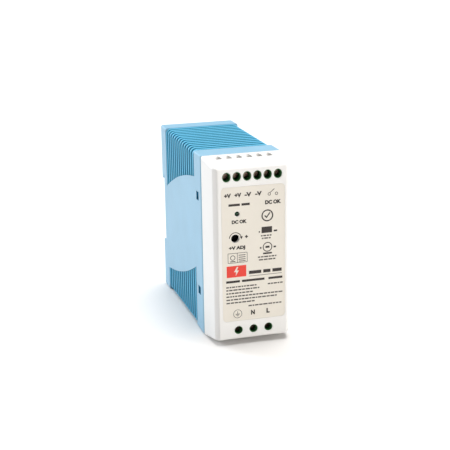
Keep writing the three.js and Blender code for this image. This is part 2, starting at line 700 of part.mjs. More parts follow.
// Turns wound round most of the core, clear of it by a thin gap.
function chokeWinding() {
  const gap = 0.3;
  const c = CHOKE.copper;
  const outside = ring(CHOKE.outer + gap + c, CHOKE.inner - gap - c, [CHOKE.x[0] - gap - c, CHOKE.x[1] + gap + c]);
  const tunnel = ring(CHOKE.outer + gap, CHOKE.inner - gap, [CHOKE.x[0] - gap, CHOKE.x[1] + gap]);
  const opening = block([-1, 20], [-CHOKE.openingHalf, CHOKE.openingHalf], [0, 20]);
  return cut(outside.subtract(tunnel), [opening]);
}

function can(radius, height) {
  const profile = [
    [0, 0], [radius - 0.4, 0], [radius, 0.4], [radius, 2.2], [radius - 0.5, 2.7], [radius, 3.2],
    [radius, height - 0.6], [radius - 0.6, height], [0, height],
  ];
  return solid(turned(profile, 24).rotateZ(-Math.PI / 2).translate(STANDOFF, 0, 0));
}

const POWER_PACKAGE = [15, 4.4, 10]; // a transistor or rectifier, on edge against its heatsink
const PRIMARY_SINK = { y: 34.4, z: 50, height: 26, length: 26, thickness: 1.6, fins: 5, finDepth: 2.4 };
const SECONDARY_SINK = { z: 82.2, height: 22, y: [-14, 22], thickness: 1.6 };

function primaryHeatsink() {
  const { height, length, thickness, fins, finDepth } = PRIMARY_SINK;
  const x = [STANDOFF, STANDOFF + height];
  const parts = [block(x, [0, thickness], [-length / 2, length / 2])];
  for (let i = 0; i < fins; i++) {
    const z = 1 - length / 2 + (i * (length - 2)) / (fins - 1);
    parts.push(block(x, [thickness - 0.2, thickness + finDepth], [z - 0.5, z + 0.5]));
  }
  return joined(parts);
}

function secondaryHeatsink() {
  const { height, y, thickness } = SECONDARY_SINK;
  return solid(block([STANDOFF, STANDOFF + height], y, [0, thickness]));
}

const TRANSFORMER = { y: 14, z: 62, bobbinRise: 5 };
const CORE = { x: [6, 18], y: [-12, 12], z: [-13, 13], yoke: 3.5, leg: 3, middle: 3.5 };

function transformerCore() {
  const windowZ = [CORE.z[0] + CORE.yoke, CORE.z[1] - CORE.yoke];
  const x = [CORE.x[0] - 1, CORE.x[1] + 1];
  return cut(solid(block(CORE.x, CORE.y, CORE.z)), [
    block(x, [CORE.y[0] + CORE.leg, -CORE.middle], windowZ),
    block(x, [CORE.middle, CORE.y[1] - CORE.leg], windowZ),
  ]);
}

function transformerWinding() {
  const gap = 0.3;
  const z = [CORE.z[0] + CORE.yoke + gap, CORE.z[1] - CORE.yoke - gap];
  const y = CORE.y[1] - CORE.leg - gap;
  const bobbin = solid(block([STANDOFF, CORE.x[1] + TRANSFORMER.bobbinRise], [-y, y], z));
  const middle = CORE.middle + gap;
  return cut(bobbin, [block([CORE.x[0] - gap, CORE.x[1] + gap], [-middle, middle], [z[0] - 1, z[1] + 1])]);
}

function square(y, z) {
  return [[-y, -z], [y, -z], [-y, z], [y, z]];
}

// Every part with leads: its shape, its place on the board, and its leads about that place in (y, z).
function components() {
  return [
    { name: "fuse", shape: fuse(), material: brass, y: -17, z: 18, leads: [[0, -7.5], [0, 7.5]] },
    { name: "varistor", shape: disc(5, 3.6), material: deepBlue, y: -8, z: 13, leads: PAIR_Z },
    { name: "inrush_thermistor", shape: disc(4.5, 4), material: black, y: -8, z: 26, leads: PAIR_Z },
    { name: "x_capacitor", shape: box(12, 8, 18), material: tape, y: 2, z: 16, leads: [[0, -7.5], [0, 7.5]] },
    { name: "choke_winding", shape: chokeWinding(), material: copper, y: CHOKE.y, z: CHOKE.z, leads: square(5, 5) },
    { name: "bridge_rectifier", shape: box(11, 4, 16), material: black, y: 32, z: 15,
      leads: [[0, -6], [0, -2], [0, 2], [0, 6]] },
    { name: "bulk_capacitor", shape: can(8, 28), material: black, y: 20, z: 36, leads: PAIR_Z },
    { name: "switching_transistor", shape: box(...POWER_PACKAGE), material: black, y: 31.9, z: 54,
      leads: [[0, -2.5], [0, 0], [0, 2.5]] },
    { name: "transformer_winding", shape: transformerWinding(), material: tape, y: TRANSFORMER.y, z: TRANSFORMER.z,
      leads: square(6, 6) },
    { name: "output_rectifier", shape: box(...POWER_PACKAGE).rotate([90, 0, 0]), material: black, y: -4, z: 79.6,
      leads: [[-2.5, 0], [0, 0], [2.5, 0]] },
    { name: "output_capacitor_1", shape: can(5, 20), material: black, y: -8, z: 56, leads: PAIR_Z },
    { name: "output_capacitor_2", shape: can(5, 20), material: black, y: -8, z: 68, leads: PAIR_Z },
    { name: "output_inductor", shape: ring(6, 2.4, [STANDOFF, 8]), material: copper, y: -7, z: 42,
      leads: [[0, -4], [0, 4]] },
    { name: "dc_ok_relay", shape: box(12, 7.5, 15), material: black, y: -17, z: 58, leads: square(2.5, 5) },
    { name: "optocoupler", shape: box(3.6, 6.4, 4.8), material: black, y: -18, z: 38, leads: square(2.3, 1.3) },
  ];
}

// The pin strip that joins the two boards.
function boardLink() {
  const x = MAIN_BOARD.x[1] + LINK.gap;
  return solid(block([x, x + LINK.width], LINK.y, LINK.z));
}

function insulationSheet() {
  return solid(block(SHEET.x, SHEET.y, SHEET.z));
}

// ---------------------------------------------------------------- assembly
function shells() {
  const group = new THREE.Group();
  group.add(piece("rear_housing", rearHousing(), blue));
  group.add(piece("front_cover", frontCover(), white));
  group.add(piece("front_label", frontLabel(), cream));
  group.add(piece("din_latch", dinLatch(), deepBlue));
  group.add(piece("latch_spring", latchSpring(), steel));
  return group;
}

function controls() {
  const group = new THREE.Group();
  group.add(piece("status_led", statusLed(), lampGreen, [LED.x, 0, LED.z]));
  group.add(piece("trimmer_body", trimmerBody(), black, [TRIMMER.x, 0, TRIMMER.z]));
  group.add(piece("trimmer_rotor", trimmerRotor(), black, [TRIMMER.x, 0, TRIMMER.z]));
  return group;
}

function electronics() {
  const group = new THREE.Group();
  const face = MAIN_BOARD.x[1];
  const parts = components();
  group.add(piece("front_board", frontBoard(), board));
  group.add(piece("main_board", mainBoard(parts), board));
  group.add(piece("board_link", boardLink(), black));
  group.add(piece("insulation_sheet", insulationSheet(), paper));
  for (const { name, shape, material, y, z, leads } of parts) {
    const whole = leadsOf(leads).map(solid).reduce((sum, lead) => sum.add(lead), shape);
    group.add(piece(name, whole, material, [face, y, z]));
  }
  group.add(piece("choke_core", chokeCore(), ferrite, [face, CHOKE.y, CHOKE.z]));
  group.add(piece("transformer_core", transformerCore(), ferrite, [face, TRANSFORMER.y, TRANSFORMER.z]));
  group.add(piece("primary_heatsink", primaryHeatsink(), aluminium, [face, PRIMARY_SINK.y, PRIMARY_SINK.z]));
  group.add(piece("secondary_heatsink", secondaryHeatsink(), aluminium, [face, 0, SECONDARY_SINK.z]));
  return group;
}

const powerSupply = new THREE.Group();
powerSupply.name = "din_rail_power_supply";
powerSupply.add(shells(), controls(), electronics(), terminalRow(OUTPUT_POLES), terminalRow(INPUT_POLES));

export default powerSupply;
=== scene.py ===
"""DIN rail power supply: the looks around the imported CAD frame. Lengths are metres, written as mm * MM."""
import json
import math
import random

import bmesh
import bpy
from mathutils import Matrix, Vector


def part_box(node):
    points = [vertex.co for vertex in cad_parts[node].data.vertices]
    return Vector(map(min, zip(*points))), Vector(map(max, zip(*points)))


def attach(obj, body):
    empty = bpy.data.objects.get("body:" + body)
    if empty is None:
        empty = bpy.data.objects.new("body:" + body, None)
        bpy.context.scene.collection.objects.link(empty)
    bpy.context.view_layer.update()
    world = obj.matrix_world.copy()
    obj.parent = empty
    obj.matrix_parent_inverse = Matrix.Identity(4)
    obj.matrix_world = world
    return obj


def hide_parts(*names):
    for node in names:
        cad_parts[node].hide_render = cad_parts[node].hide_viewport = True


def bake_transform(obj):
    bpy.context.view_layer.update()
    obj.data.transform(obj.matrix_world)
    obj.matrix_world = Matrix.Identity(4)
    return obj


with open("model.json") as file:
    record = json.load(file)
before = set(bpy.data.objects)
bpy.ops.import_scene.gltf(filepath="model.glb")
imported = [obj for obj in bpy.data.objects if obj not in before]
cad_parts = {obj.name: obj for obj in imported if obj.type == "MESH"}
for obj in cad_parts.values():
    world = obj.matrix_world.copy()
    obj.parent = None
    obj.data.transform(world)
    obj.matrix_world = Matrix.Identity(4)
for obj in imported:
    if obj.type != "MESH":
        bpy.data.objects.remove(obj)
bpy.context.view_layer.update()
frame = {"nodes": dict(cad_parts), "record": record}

MM = 0.001
CASE = "case"

# ---------------- sizes read from the frame
HOUSING_LOW, HOUSING_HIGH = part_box("rear_housing")
HALF_WIDTH = HOUSING_HIGH.x
HEIGHT = HOUSING_HIGH.z
MID_Z = HEIGHT / 2
REAR_Y = HOUSING_HIGH.y
FRONT_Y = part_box("front_cover")[0].y
HOUSING_FRONT_Y = HOUSING_LOW.y
PARTING_GAP = 0.3 * MM
PARTING_Y = HOUSING_FRONT_Y - PARTING_GAP / 2
COVER_REAR_Y = HOUSING_FRONT_Y - PARTING_GAP
THROUGH = 2 * HALF_WIDTH  # reach of a cutter on each side, to pass right through the case
TOUCH = 0.01 * MM  # points this near each other count as touching

# ---------------- sizes that repeat the CAD's, with finer edges
WALL = 3.2 * MM
CASE_CORNER = 1 * MM
CASE_REAR_EDGE = 0.35 * MM
HOUSING_EDGE = ((0, 0.75), (0.6, 0.12), (0.9, 0))  # mm from the parting line, mm drawn in
CAVITY_REAR_Y = 41 * MM
RIB_FIELD_Y = (-19.6 * MM, 39.4 * MM)
RIB_INSET = 0.3 * MM
RIB_CORNER = 2.6 * MM
GROOVE_PITCH = 4.215 * MM
GROOVE_WIDTH = 2.4 * MM
GROOVE_DEPTH = 1.6 * MM
GROOVE_PLACES = [-17.9 * MM + i * GROOVE_PITCH for i in range(14)]
GROOVE_MOUTH_RADIUS = 0.3 * MM
GROOVE_FLOOR_RADIUS = 0.35 * MM
VENT_HALF_WIDTH = 13 * MM
FIELD_CENTRE = (10 * MM, MID_Z)
FIELD_ARC = ((29.7 * MM, 13.6 * MM), (0.0, 25.6 * MM), (-29.7 * MM, 32.3 * MM))
WINDOW_Y = (-27.4 * MM, -23.2 * MM)
WINDOW_OFFSET = 24 * MM
WINDOW_HALF_HEIGHT = 2.1 * MM
COVER_WALL = 1.8 * MM
COVER_CORNER = 0.9 * MM
COVER_EDGE = ((0, 0.5), (0.12, 0.3), (0.4, 0.1), (0.8, 0))  # mm from the parting line, mm drawn in
COVER_BREAK = ((-46.9, 18.68), (-47.35, 18.5), (-48.2, 18.05), (-49.0, 17.6))  # mm: y, half width
COVER_ROUNDING = (  # mm: y, half width, end drop
    (-49.45, 17.32, 3.1), (-49.75, 17.08, 3.45), (-49.93, 16.82, 3.85), (-50, 16.5, 4.4),
)
COVER_SIDE_TAPER = 1.6 * MM
COVER_END_TAPER = 3 * MM
OUTPUT_POLES = (82.85 * MM, [x * MM for x in (-12.5, -7.5, -2.5, 2.5, 7.5, 12.5)])
INPUT_POLES = (7.4 * MM, [x * MM for x in (-7.5, 0, 7.5)])
SCREW_HOLE_RADIUS = 2.05 * MM
HOLE_RIM = 0.15 * MM
OUTPUT_HOLE_STRETCH = 1.12
WIRE_ENTRY_HALF = 1.5 * MM
WIRE_ENTRY_Y = (-38.2 * MM, -35.2 * MM)
WIRE_ENTRY_FLARE = ((-5, 0.8), (0.45, 0.8), (1.4, 0), (5, 0))  # mm inwards, mm longer
LED = (-7.56 * MM, 65.06 * MM, 1.2 * MM)  # x, z and radius of its hole
TRIMMER = (-8.6 * MM, 53.2 * MM, 2 * MM)
LABEL_X = 0.35 * MM
LABEL_WIDTH = 31 * MM
LABEL_Z = (12.2 * MM, 78 * MM)
LABEL_RADIUS = 1.8 * MM

# ---------------- camera, floor and light
CAMERA_AZIMUTH = math.radians(-15.98)
CAMERA_ELEVATION = math.radians(16.05)
CAMERA_ROLL = math.radians(-0.91)
CAMERA_DISTANCE = 0.5641
CAMERA_LENS = 87.9
CAMERA_SLIDE = (0.76 * MM, 0.47 * MM)  # across and up, from looking straight at the middle
FLOOR_REACH = 3.0
FLOOR_COLOUR = (0.855, 0.84, 0.825)


def add_camera():
    az, el = CAMERA_AZIMUTH, CAMERA_ELEVATION
    back = Vector((math.sin(az) * math.cos(el), -math.cos(az) * math.cos(el), math.sin(el)))
    right = Vector((0, 0, 1)).cross(back).normalized()
    up = back.cross(right)
    turned_right = math.cos(CAMERA_ROLL) * right + math.sin(CAMERA_ROLL) * up
    turned_up = back.cross(turned_right)
    position = Vector((0, 0, MID_Z)) + back * CAMERA_DISTANCE
    position += right * CAMERA_SLIDE[0]
    position += up * CAMERA_SLIDE[1]
    data = bpy.data.cameras.new("camera")
    data.lens = CAMERA_LENS
    data.sensor_width = 36
    camera = bpy.data.objects.new("camera", data)
    bpy.context.scene.collection.objects.link(camera)
    matrix = Matrix((turned_right, turned_up, back)).transposed().to_4x4()
    matrix.translation = position
    camera.matrix_world = matrix
    bpy.context.scene.camera = camera


def add_floor():
    data = bpy.data.meshes.new("floor")
    corners = [(x * FLOOR_REACH, y * FLOOR_REACH, 0) for x, y in ((-1, -1), (1, -1), (1, 1), (-1, 1))]
    data.from_pydata(corners, [], [(0, 1, 2, 3)])
    floor = bpy.data.objects.new("floor", data)
    bpy.context.scene.collection.objects.link(floor)
    data.materials.append(new_material("floor", FLOOR_COLOUR, 0.9, specular=0.1))


def add_sun(name, towards_light, strength, angle, colour=(1, 1, 1)):
    """A broad light from one direction; at strength 1 a white surface that faces it comes out white."""
    data = bpy.data.lights.new(name, "SUN")
    data.energy = strength * math.pi
    data.angle = math.radians(angle)
    data.color = colour
    lamp = bpy.data.objects.new(name, data)
    bpy.context.scene.collection.objects.link(lamp)
    lamp.rotation_mode = "QUATERNION"
    lamp.rotation_quaternion = Vector(towards_light).to_track_quat("Z", "Y")


def add_light():
    world = bpy.data.worlds.new("studio")
    world.use_nodes = True
    background = world.node_tree.nodes["Background"]
    background.inputs["Color"].default_value = (1, 0.97, 0.93, 1)
    background.inputs["Strength"].default_value = 0.12
    bpy.context.scene.world = world
    add_sun("overhead", (0.1, 0.1, 1), 1.12, 50)
    add_sun("left_rear", (-0.6, 0.8, 0.3), 0.66, 20, (0.9, 0.98, 1.07))
    add_sun("right_front", (0.73, -0.67, 0.25), 0.462, 22, (1, 0.99, 0.97))
    bpy.context.scene.view_settings.view_transform = "Standard"
    bpy.context.scene.view_settings.look = "None"


# ---------------- materials
def principled(material):
    return material.node_tree.nodes["Principled BSDF"]


def new_material(name, colour, roughness, metallic=0.0, specular=0.5):
    material = bpy.data.materials.new(name)
    material.use_nodes = True
    shader = principled(material)
    shader.inputs["Base Color"].default_value = (*colour, 1)
    shader.inputs["Roughness"].default_value = roughness
    shader.inputs["Metallic"].default_value = metallic
    shader.inputs["Specular IOR Level"].default_value = specular
    return material


def node(material, kind, **settings):
    made = material.node_tree.nodes.new(kind)
    for name, value in settings.items():
        if hasattr(made, name):
            setattr(made, name, value)
        else:
            made.inputs[name.replace("_", " ")].default_value = value
    return made


def link(material, source, target):
    material.node_tree.links.new(source, target)


def object_place(material):
    return node(material, "ShaderNodeTexCoord").outputs["Object"]


def noise(material, scale, detail=3.0):
    made = node(material, "ShaderNodeTexNoise", Scale=scale, Detail=detail)
    link(material, object_place(material), made.inputs["Vector"])
    return made.outputs["Fac"]


def ramp(material, value, stops):
    made = node(material, "ShaderNodeValToRGB")
    elements = made.color_ramp.elements
    while len(elements) < len(stops):
        elements.new(0.5)
    for element, (position, colour) in zip(elements, stops):
        element.position = position
        element.color = (*colour, 1)
    link(material, value, made.inputs["Fac"])
    return made.outputs["Color"]


def shade(colour, factor):
    return tuple(min(1.0, c * factor) for c in colour)


def bump(material, height, distance, after=None):
    made = node(material, "ShaderNodeBump", Distance=distance)
    link(material, height, made.inputs["Height"])
    if after is not None:
        link(material, after, made.inputs["Normal"])
    return made.outputs["Normal"]


def moulded(name, colour, roughness, spread=0.03, grain=0.02 * MM, specular=0.4):
    """A moulded plastic: fine spark-eroded grain, faint flow variation and uneven gloss."""
    material = new_material(name, colour, roughness, specular=specular)
    shader = principled(material)
    flow = noise(material, 60, detail=2)
    shades = ((0.3, shade(colour, 1 - spread)), (0.7, shade(colour, 1 + spread)))
    link(material, ramp(material, flow, shades), shader.inputs["Base Color"])
    gloss = node(material, "ShaderNodeMapRange")
    gloss.inputs["To Min"].default_value = roughness - 0.06
    gloss.inputs["To Max"].default_value = roughness + 0.08
    link(material, noise(material, 900, detail=4), gloss.inputs["Value"])
    link(material, gloss.outputs["Result"], shader.inputs["Roughness"])
    texture = bump(material, noise(material, 5200, detail=2), grain)
    link(material, texture, shader.inputs["Normal"])
    return material


def metal(name, colour, roughness, stretch):
    """A drawn or plated metal: fine lines along one way and patchy gloss."""
    material = new_material(name, colour, roughness, metallic=1.0)
    shader = principled(material)
    mapping = node(material, "ShaderNodeMapping")
    mapping.inputs["Scale"].default_value = stretch
    link(material, object_place(material), mapping.inputs["Vector"])
    lines = node(material, "ShaderNodeTexNoise", Scale=2500.0, Detail=4.0)
    link(material, mapping.outputs["Vector"], lines.inputs["Vector"])
    patches = noise(material, 400, detail=3)
    shades = ((0.35, shade(colour, 0.82)), (0.65, colour))
    link(material, ramp(material, patches, shades), shader.inputs["Base Color"])
    link(material, bump(material, lines.outputs["Fac"], 0.01 * MM), shader.inputs["Normal"])
    return material


# ---------------- mesh helpers
def make(name, points, faces, material=None):
    data = bpy.data.meshes.new(name)
    data.from_pydata([tuple(p) for p in points], [], faces)
    data.validate()
    made = bpy.data.objects.new(name, data)
    bpy.context.scene.collection.objects.link(made)
    outward(made)
    if material is not None:
        data.materials.append(material)
    return made


def outward(piece):
    mesh = bmesh.new()
    mesh.from_mesh(piece.data)
    bmesh.ops.recalc_face_normals(mesh, faces=mesh.faces)
    mesh.to_mesh(piece.data)
    mesh.free()


def cuboid(name, x, y, z):
    points = [(a, b, c) for a in x for b in y for c in z]
    faces = [(0, 1, 3, 2), (4, 6, 7, 5), (0, 4, 5, 1), (2, 3, 7, 6), (0, 2, 6, 4), (1, 5, 7, 3)]
    return make(name, points, faces)


def rings_solid(name, rings, closed=False, material=None):
    """A skin through rings of points; its ends are capped, or joined to each other if closed."""
    count = len(rings[0])
    points = [p for ring in rings for p in ring]
    faces = []
    levels = len(rings)
    for level in range(levels if closed else levels - 1):
        after = (level + 1) % levels
        for i in range(count):
            j = (i + 1) % count
            faces.append((level * count + i, level * count + j, after * count + j, after * count + i))
    if not closed:
        faces.append(tuple(range(count)))
        faces.append(tuple((levels - 1) * count + i for i in reversed(range(count))))
    return make(name, points, faces, material)


def turned(name, profile, sides, centre=(0, 0, 0), material=None):
    """A body of revolution about Y, from (radius, y) pairs that start and end on the axis."""
    points, rows = [], []
    for radius, along in profile:
        if radius == 0:
            rows.append([len(points)])
            points.append((0, along, 0))
            continue
        rows.append(list(range(len(points), len(points) + sides)))
        for i in range(sides):
            angle = 2 * math.pi * i / sides
            points.append((radius * math.cos(angle), along, radius * math.sin(angle)))
    faces = []
    for low, high in zip(rows, rows[1:]):
        for i in range(sides):
            j = (i + 1) % sides
            corners = [low[i % len(low)], low[j % len(low)], high[j % len(high)], high[i % len(high)]]
            corners = list(dict.fromkeys(corners))
            if len(corners) > 2:
                faces.append(tuple(corners))
    points = [Vector(p) + Vector(centre) for p in points]
    return make(name, points, faces, material)


def quarter_turn(steps, first=1):
    """Angles over a quarter turn, in equal steps."""
    return [math.radians(90 * k / steps) for k in range(first, steps + 1)]


def front_prism(name, outline, depths):
    """An outline in (x, z) drawn out between two depths y."""
    return rings_solid(name, [[(x, y, z) for x, z in outline] for y in depths])


def side_prism(name, outline):
    """An outline in (y, z) drawn out through both sides."""
    return rings_solid(name, [[(x, y, z) for y, z in outline] for x in (-THROUGH, THROUGH)])


def repaint(piece, *materials):
    """Gives a piece these materials, and all its faces the first one."""
    piece.data.materials.clear()
    for material in materials:
        piece.data.materials.append(material)
    for face in piece.data.polygons:
        face.material_index = 0


def rounded_section(half_width, bottom, top, radius, segments, depth=0.0):
    """Points of a rounded rectangle in (x, z), drawn depth inside its outline."""
    points = []
    corner = max(radius, 1e-6)
    for sx, sz, start in ((1, 1, 0), (-1, 1, 90), (-1, -1, 180), (1, -1, 270)):
        cx = sx * (half_width - corner)
        cz = (top - corner) if sz > 0 else (bottom + corner)
        for k in range(segments + 1):
            angle = math.radians(start + 90 * k / segments)
            reach = corner - depth
            points.append((cx + reach * math.cos(angle), cz + reach * math.sin(angle)))
    return points


def combine(target, tool, operation="DIFFERENCE"):
    modifier = target.modifiers.new("cut", "BOOLEAN")
    modifier.operation = operation
    modifier.solver = "EXACT"
    modifier.object = tool
    apply_modifiers(target)
    bpy.data.objects.remove(tool)


def apply_modifiers(piece):
    bpy.context.view_layer.update()
    graph = bpy.context.evaluated_depsgraph_get()
    data = bpy.data.meshes.new_from_object(piece.evaluated_get(graph), depsgraph=graph)
    piece.modifiers.clear()
    old = piece.data
    piece.data = data
    data.name = old.name
    bpy.data.meshes.remove(old)


def joined(name, pieces):
    """One mesh object of several."""
    mesh = bmesh.new()
    for piece in pieces:
        piece.data.transform(piece.matrix_world)
        mesh.from_mesh(piece.data)
    data = bpy.data.meshes.new(name)
    mesh.to_mesh(data)
    mesh.free()
    for material in pieces[0].data.materials:
        data.materials.append(material)
    for piece in pieces:
        bpy.data.objects.remove(piece)
    made = bpy.data.objects.new(name, data)
    bpy.context.scene.collection.objects.link(made)
    return made


def tidy_mesh(piece, angle=0.5):
    """Merges doubled points and flat neighbours, and splits the many-cornered front and rear faces."""
    mesh = bmesh.new()
    mesh.from_mesh(piece.data)
    bmesh.ops.remove_doubles(mesh, verts=mesh.verts, dist=1e-6)
    bmesh.ops.dissolve_limit(mesh, angle_limit=math.radians(angle), verts=mesh.verts, edges=mesh.edges)
    many_sided = [face for face in mesh.faces if len(face.verts) > 12 and abs(face.normal.y) > 0.9]
    bmesh.ops.triangulate(mesh, faces=many_sided, ngon_method="EAR_CLIP")
    mesh.to_mesh(piece.data)
    mesh.free()


def soften(piece, width, segments=2, angle=40):
    """Rounds the sharp edges and shades the rest smoothly."""
    bevel = piece.modifiers.new("edges", "BEVEL")
    bevel.width = width
    bevel.segments = segments
    bevel.limit_method = "ANGLE"
    bevel.angle_limit = math.radians(angle)
    bevel.miter_outer = "MITER_ARC"
    bevel.harden_normals = True
    for face in piece.data.polygons:
        face.use_smooth = True
    weighted = piece.modifiers.new("normals", "WEIGHTED_NORMAL")
    weighted.keep_sharp = True


def place(piece, body, slot_name, *nodes):
    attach(piece, body)
    if nodes:
        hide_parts(*nodes)


# ---------------- rear housing
def circle_through(a, b, c):
    """Centre and radius of the circle through three points."""
    (ax, ay), (bx, by), (cx, cy) = a, b, c
    d = 2 * (ax * (by - cy) + bx * (cy - ay) + cx * (ay - by))
    a2, b2, c2 = ax * ax + ay * ay, bx * bx + by * by, cx * cx + cy * cy
    x = (a2 * (by - cy) + b2 * (cy - ay) + c2 * (ay - by)) / d
    y = (a2 * (cx - bx) + b2 * (ax - cx) + c2 * (bx - ax)) / d
    return x, y, math.hypot(ax - x, ay - y)


def field_edge():
    """Points of the smooth side field in (y, z): its upper arc, then its lower one."""
    steps = 40
    x, y, radius = circle_through(*FIELD_ARC)
    start = math.atan2(FIELD_ARC[0][1] - y, FIELD_ARC[0][0] - x)
    end = math.atan2(FIELD_ARC[2][1] - y, FIELD_ARC[2][0] - x)
    cy, cz = FIELD_CENTRE
    points = []
    for turn in (1, -1):
        for k in range(steps + 1):
            angle = start + (end - start) * k / steps
            along, up = x + radius * math.cos(angle), y + radius * math.sin(angle)
            points.append((cy + turn * along, cz + turn * up))
    return points


def band_cutter(name, profile):
    """A closed band round the housing; profile is a loop of (y, depth below the rib tops)."""
    half, top = HALF_WIDTH - RIB_INSET, HEIGHT - RIB_INSET
    rings = []
    for y, depth in profile:
        section = rounded_section(half, RIB_INSET, top, RIB_CORNER, 8, depth)
        rings.append([(x, y, z) for x, z in section])
    return rings_solid(name, rings, closed=True)


def groove_profile(y):
    """A groove with rounded mouth and floor corners, as a loop of (y, depth) for band_cutter."""
    half, mouth, floor = GROOVE_WIDTH / 2, GROOVE_MOUTH_RADIUS, GROOVE_FLOOR_RADIUS
    outer = -1.2 * MM
    side = []
    for angle in quarter_turn(3, 0):
        side.append((half + mouth - mouth * math.sin(angle), mouth - mouth * math.cos(angle)))
    for angle in quarter_turn(3, 0):
        across = half - floor + floor * math.cos(angle)
        side.append((across, GROOVE_DEPTH - floor + floor * math.sin(angle)))
    points = [(y - half - mouth, outer)]
    points += [(y - across, down) for across, down in side]
    points += [(y + across, down) for across, down in reversed(side)]
    points.append((y + half + mouth, outer))
    return points


def rib_cutter():
    """The skin over the rib tops and the grooves between them, up to the smooth side fields."""
    low, high = RIB_FIELD_Y
    skin = band_cutter("skin", [(low, -3 * MM), (low, 0), (high, 0), (high, -3 * MM)])
    bands = [band_cutter("groove", groove_profile(y)) for y in GROOVE_PLACES]
    combine(skin, joined("grooves", bands), "UNION")
    combine(skin, side_prism("field", field_edge()))
    return skin


def vent_cutters():
    """Slots through the groove floors, above and below."""
    cutters = []
    half = GROOVE_WIDTH / 2 - GROOVE_FLOOR_RADIUS
    for y in GROOVE_PLACES:
        span = (y - half, y + half)
        for z in ((-MM, WALL + 0.1 * MM), (HEIGHT - WALL - 0.1 * MM, HEIGHT + MM)):
            cutters.append(cuboid("vent", (-VENT_HALF_WIDTH, VENT_HALF_WIDTH), span, z))
    return joined("vents", cutters)


def rail_recess():
    """A cutter for the recess that takes the rail, with the lips that hold the rail's edges."""
    outline = [(45.3, 27.2), (46.8, 27.2), (51, 26), (51, 60.8), (46.8, 61.4), (46.8, 62.7), (45.3, 62.7),
               (45.3, 60.7), (45.4, 60.7), (45.4, 29.6), (45.3, 29.6)]
    return side_prism("recess", [(y * MM, z * MM) for y, z in outline])


def housing_body():
    rings = []
    edge = CASE_REAR_EDGE
    stations = [(HOUSING_FRONT_Y + step * MM, shrink * MM) for step, shrink in HOUSING_EDGE]
    for angle in quarter_turn(3, 0):
        stations.append((REAR_Y - edge + edge * math.sin(angle), edge - edge * math.cos(angle)))
    for y, depth in stations:
        section = rounded_section(HALF_WIDTH, 0, HEIGHT, CASE_CORNER, 5, depth)
        rings.append([(x, y, z) for x, z in section])
    return rings_solid("rear_housing_shell", rings)


def cavity():
    """The inside of the housing, with the deeper room above the rail recess."""
    across = (WALL - HALF_WIDTH, HALF_WIDTH - WALL)
    main = cuboid("cavity", across, (HOUSING_FRONT_Y - MM, CAVITY_REAR_Y), (WALL, HEIGHT - WALL))
    pocket = cuboid("pocket", across, (CAVITY_REAR_Y - MM, REAR_Y - 2 * MM), (66 * MM, HEIGHT - WALL))
    combine(main, pocket, "UNION")
    return main


def latch_channel():
    """A cutter for the guide of the latch: its body, its side flanges and the room of its spring."""
    body = cuboid("channel", (-7.95 * MM, 7.95 * MM), (46.35 * MM, 51 * MM), (-MM, 27.7 * MM))
    flange = cuboid("flange", (-9.95 * MM, 9.95 * MM), (46.35 * MM, 48.25 * MM), (-MM, 24.35 * MM))
    spring = cuboid("spring_room", (-2.2 * MM, 2.2 * MM), (42.3 * MM, 46.45 * MM), (6.4 * MM, 21.6 * MM))
    combine(body, flange, "UNION")
    combine(body, spring, "UNION")
    return body


def window_cutters():
    cutters = []
    for side in (-1, 1):
        z = MID_Z + side * WINDOW_OFFSET
        span = (z - WINDOW_HALF_HEIGHT, z + WINDOW_HALF_HEIGHT)
        cutters.append(cuboid("window", (-THROUGH, THROUGH), WINDOW_Y, span))
    return joined("windows", cutters)


def board_rails():
    """Guides on the floor and the ceiling that hold the edges of the main board."""
    rails = []
    reach = 2.6 * MM
    for x in ((-16.9, -15.9), (-13.7, -12.8)):
        for z in ((WALL - 0.2 * MM, WALL + reach), (HEIGHT - WALL - reach, HEIGHT - WALL + 0.2 * MM)):
            rails.append(cuboid("rail", [v * MM for v in x], (-20 * MM, CAVITY_REAR_Y + 0.5 * MM), z))
    return joined("rails", rails)


def depth_below_ribs(point):
    """How far a point lies inside the rounded skin of the rib tops."""
    across = abs(point.x) - (HALF_WIDTH - RIB_INSET - RIB_CORNER)
    up = abs(point.z - MID_Z) - (MID_Z - RIB_INSET - RIB_CORNER)
    reach = math.hypot(max(across, 0), max(up, 0)) + min(max(across, up), 0)
    return RIB_CORNER - reach


def in_rib_field(point, edge_low, edge_high):
    """Whether a point of the outer skin lies in the ribbed area."""
    low, high = RIB_FIELD_Y
    if not low - TOUCH < point.y < high + TOUCH:
        return False
    if depth_below_ribs(point) > GROOVE_DEPTH + 0.2 * MM:
        return False
    return point.z > edge_high(point.y) - 0.02 * MM or point.z < edge_low(point.y) + 0.02 * MM


def field_limits():
    """The heights of the smooth field's lower and upper edges as functions of y."""
    x, y, radius = circle_through(*FIELD_ARC)
    cy, cz = FIELD_CENTRE

    def high(at):
        return cz + y + math.sqrt(radius * radius - (at - cy - x) ** 2)

    def low(at):
        return cz - y - math.sqrt(radius * radius - (cy - at - x) ** 2)

    return low, high


def in_window(point):
    """Whether a point lies in one of the four snap windows, below the outer skin."""
    low, high = WINDOW_Y
    if not HALF_WIDTH - WALL < abs(point.x) < HALF_WIDTH - 0.1 * MM:
        return False
    if not low - TOUCH < point.y < high + TOUCH:
        return False
    return abs(abs(point.z - MID_Z) - WINDOW_OFFSET) < WINDOW_HALF_HEIGHT + TOUCH


def paint_housing(piece):
    """The rib tops take the second material, a darker blue that is painted shade; the grooves and the
    windows' walls take the third, a deep blue that is painted shade.
    """
    low, high = field_limits()
    for face in piece.data.polygons:
        corners = [piece.data.vertices[i].co for i in face.vertices]
        # painted shade: the snap windows' walls take the deep blue, so the windows read dark
        if in_window(face.center):
            face.material_index = 2
        if all(in_rib_field(corner, low, high) for corner in corners):
            depth = sum(depth_below_ribs(corner) for corner in corners) / len(corners)
            # painted shade: groove walls and floors take the deep blue, and the rib tops a darker blue than
            # the smooth housing
            face.material_index = 2 if depth > 0.3 * MM else 1 if depth > -0.2 * MM else 0


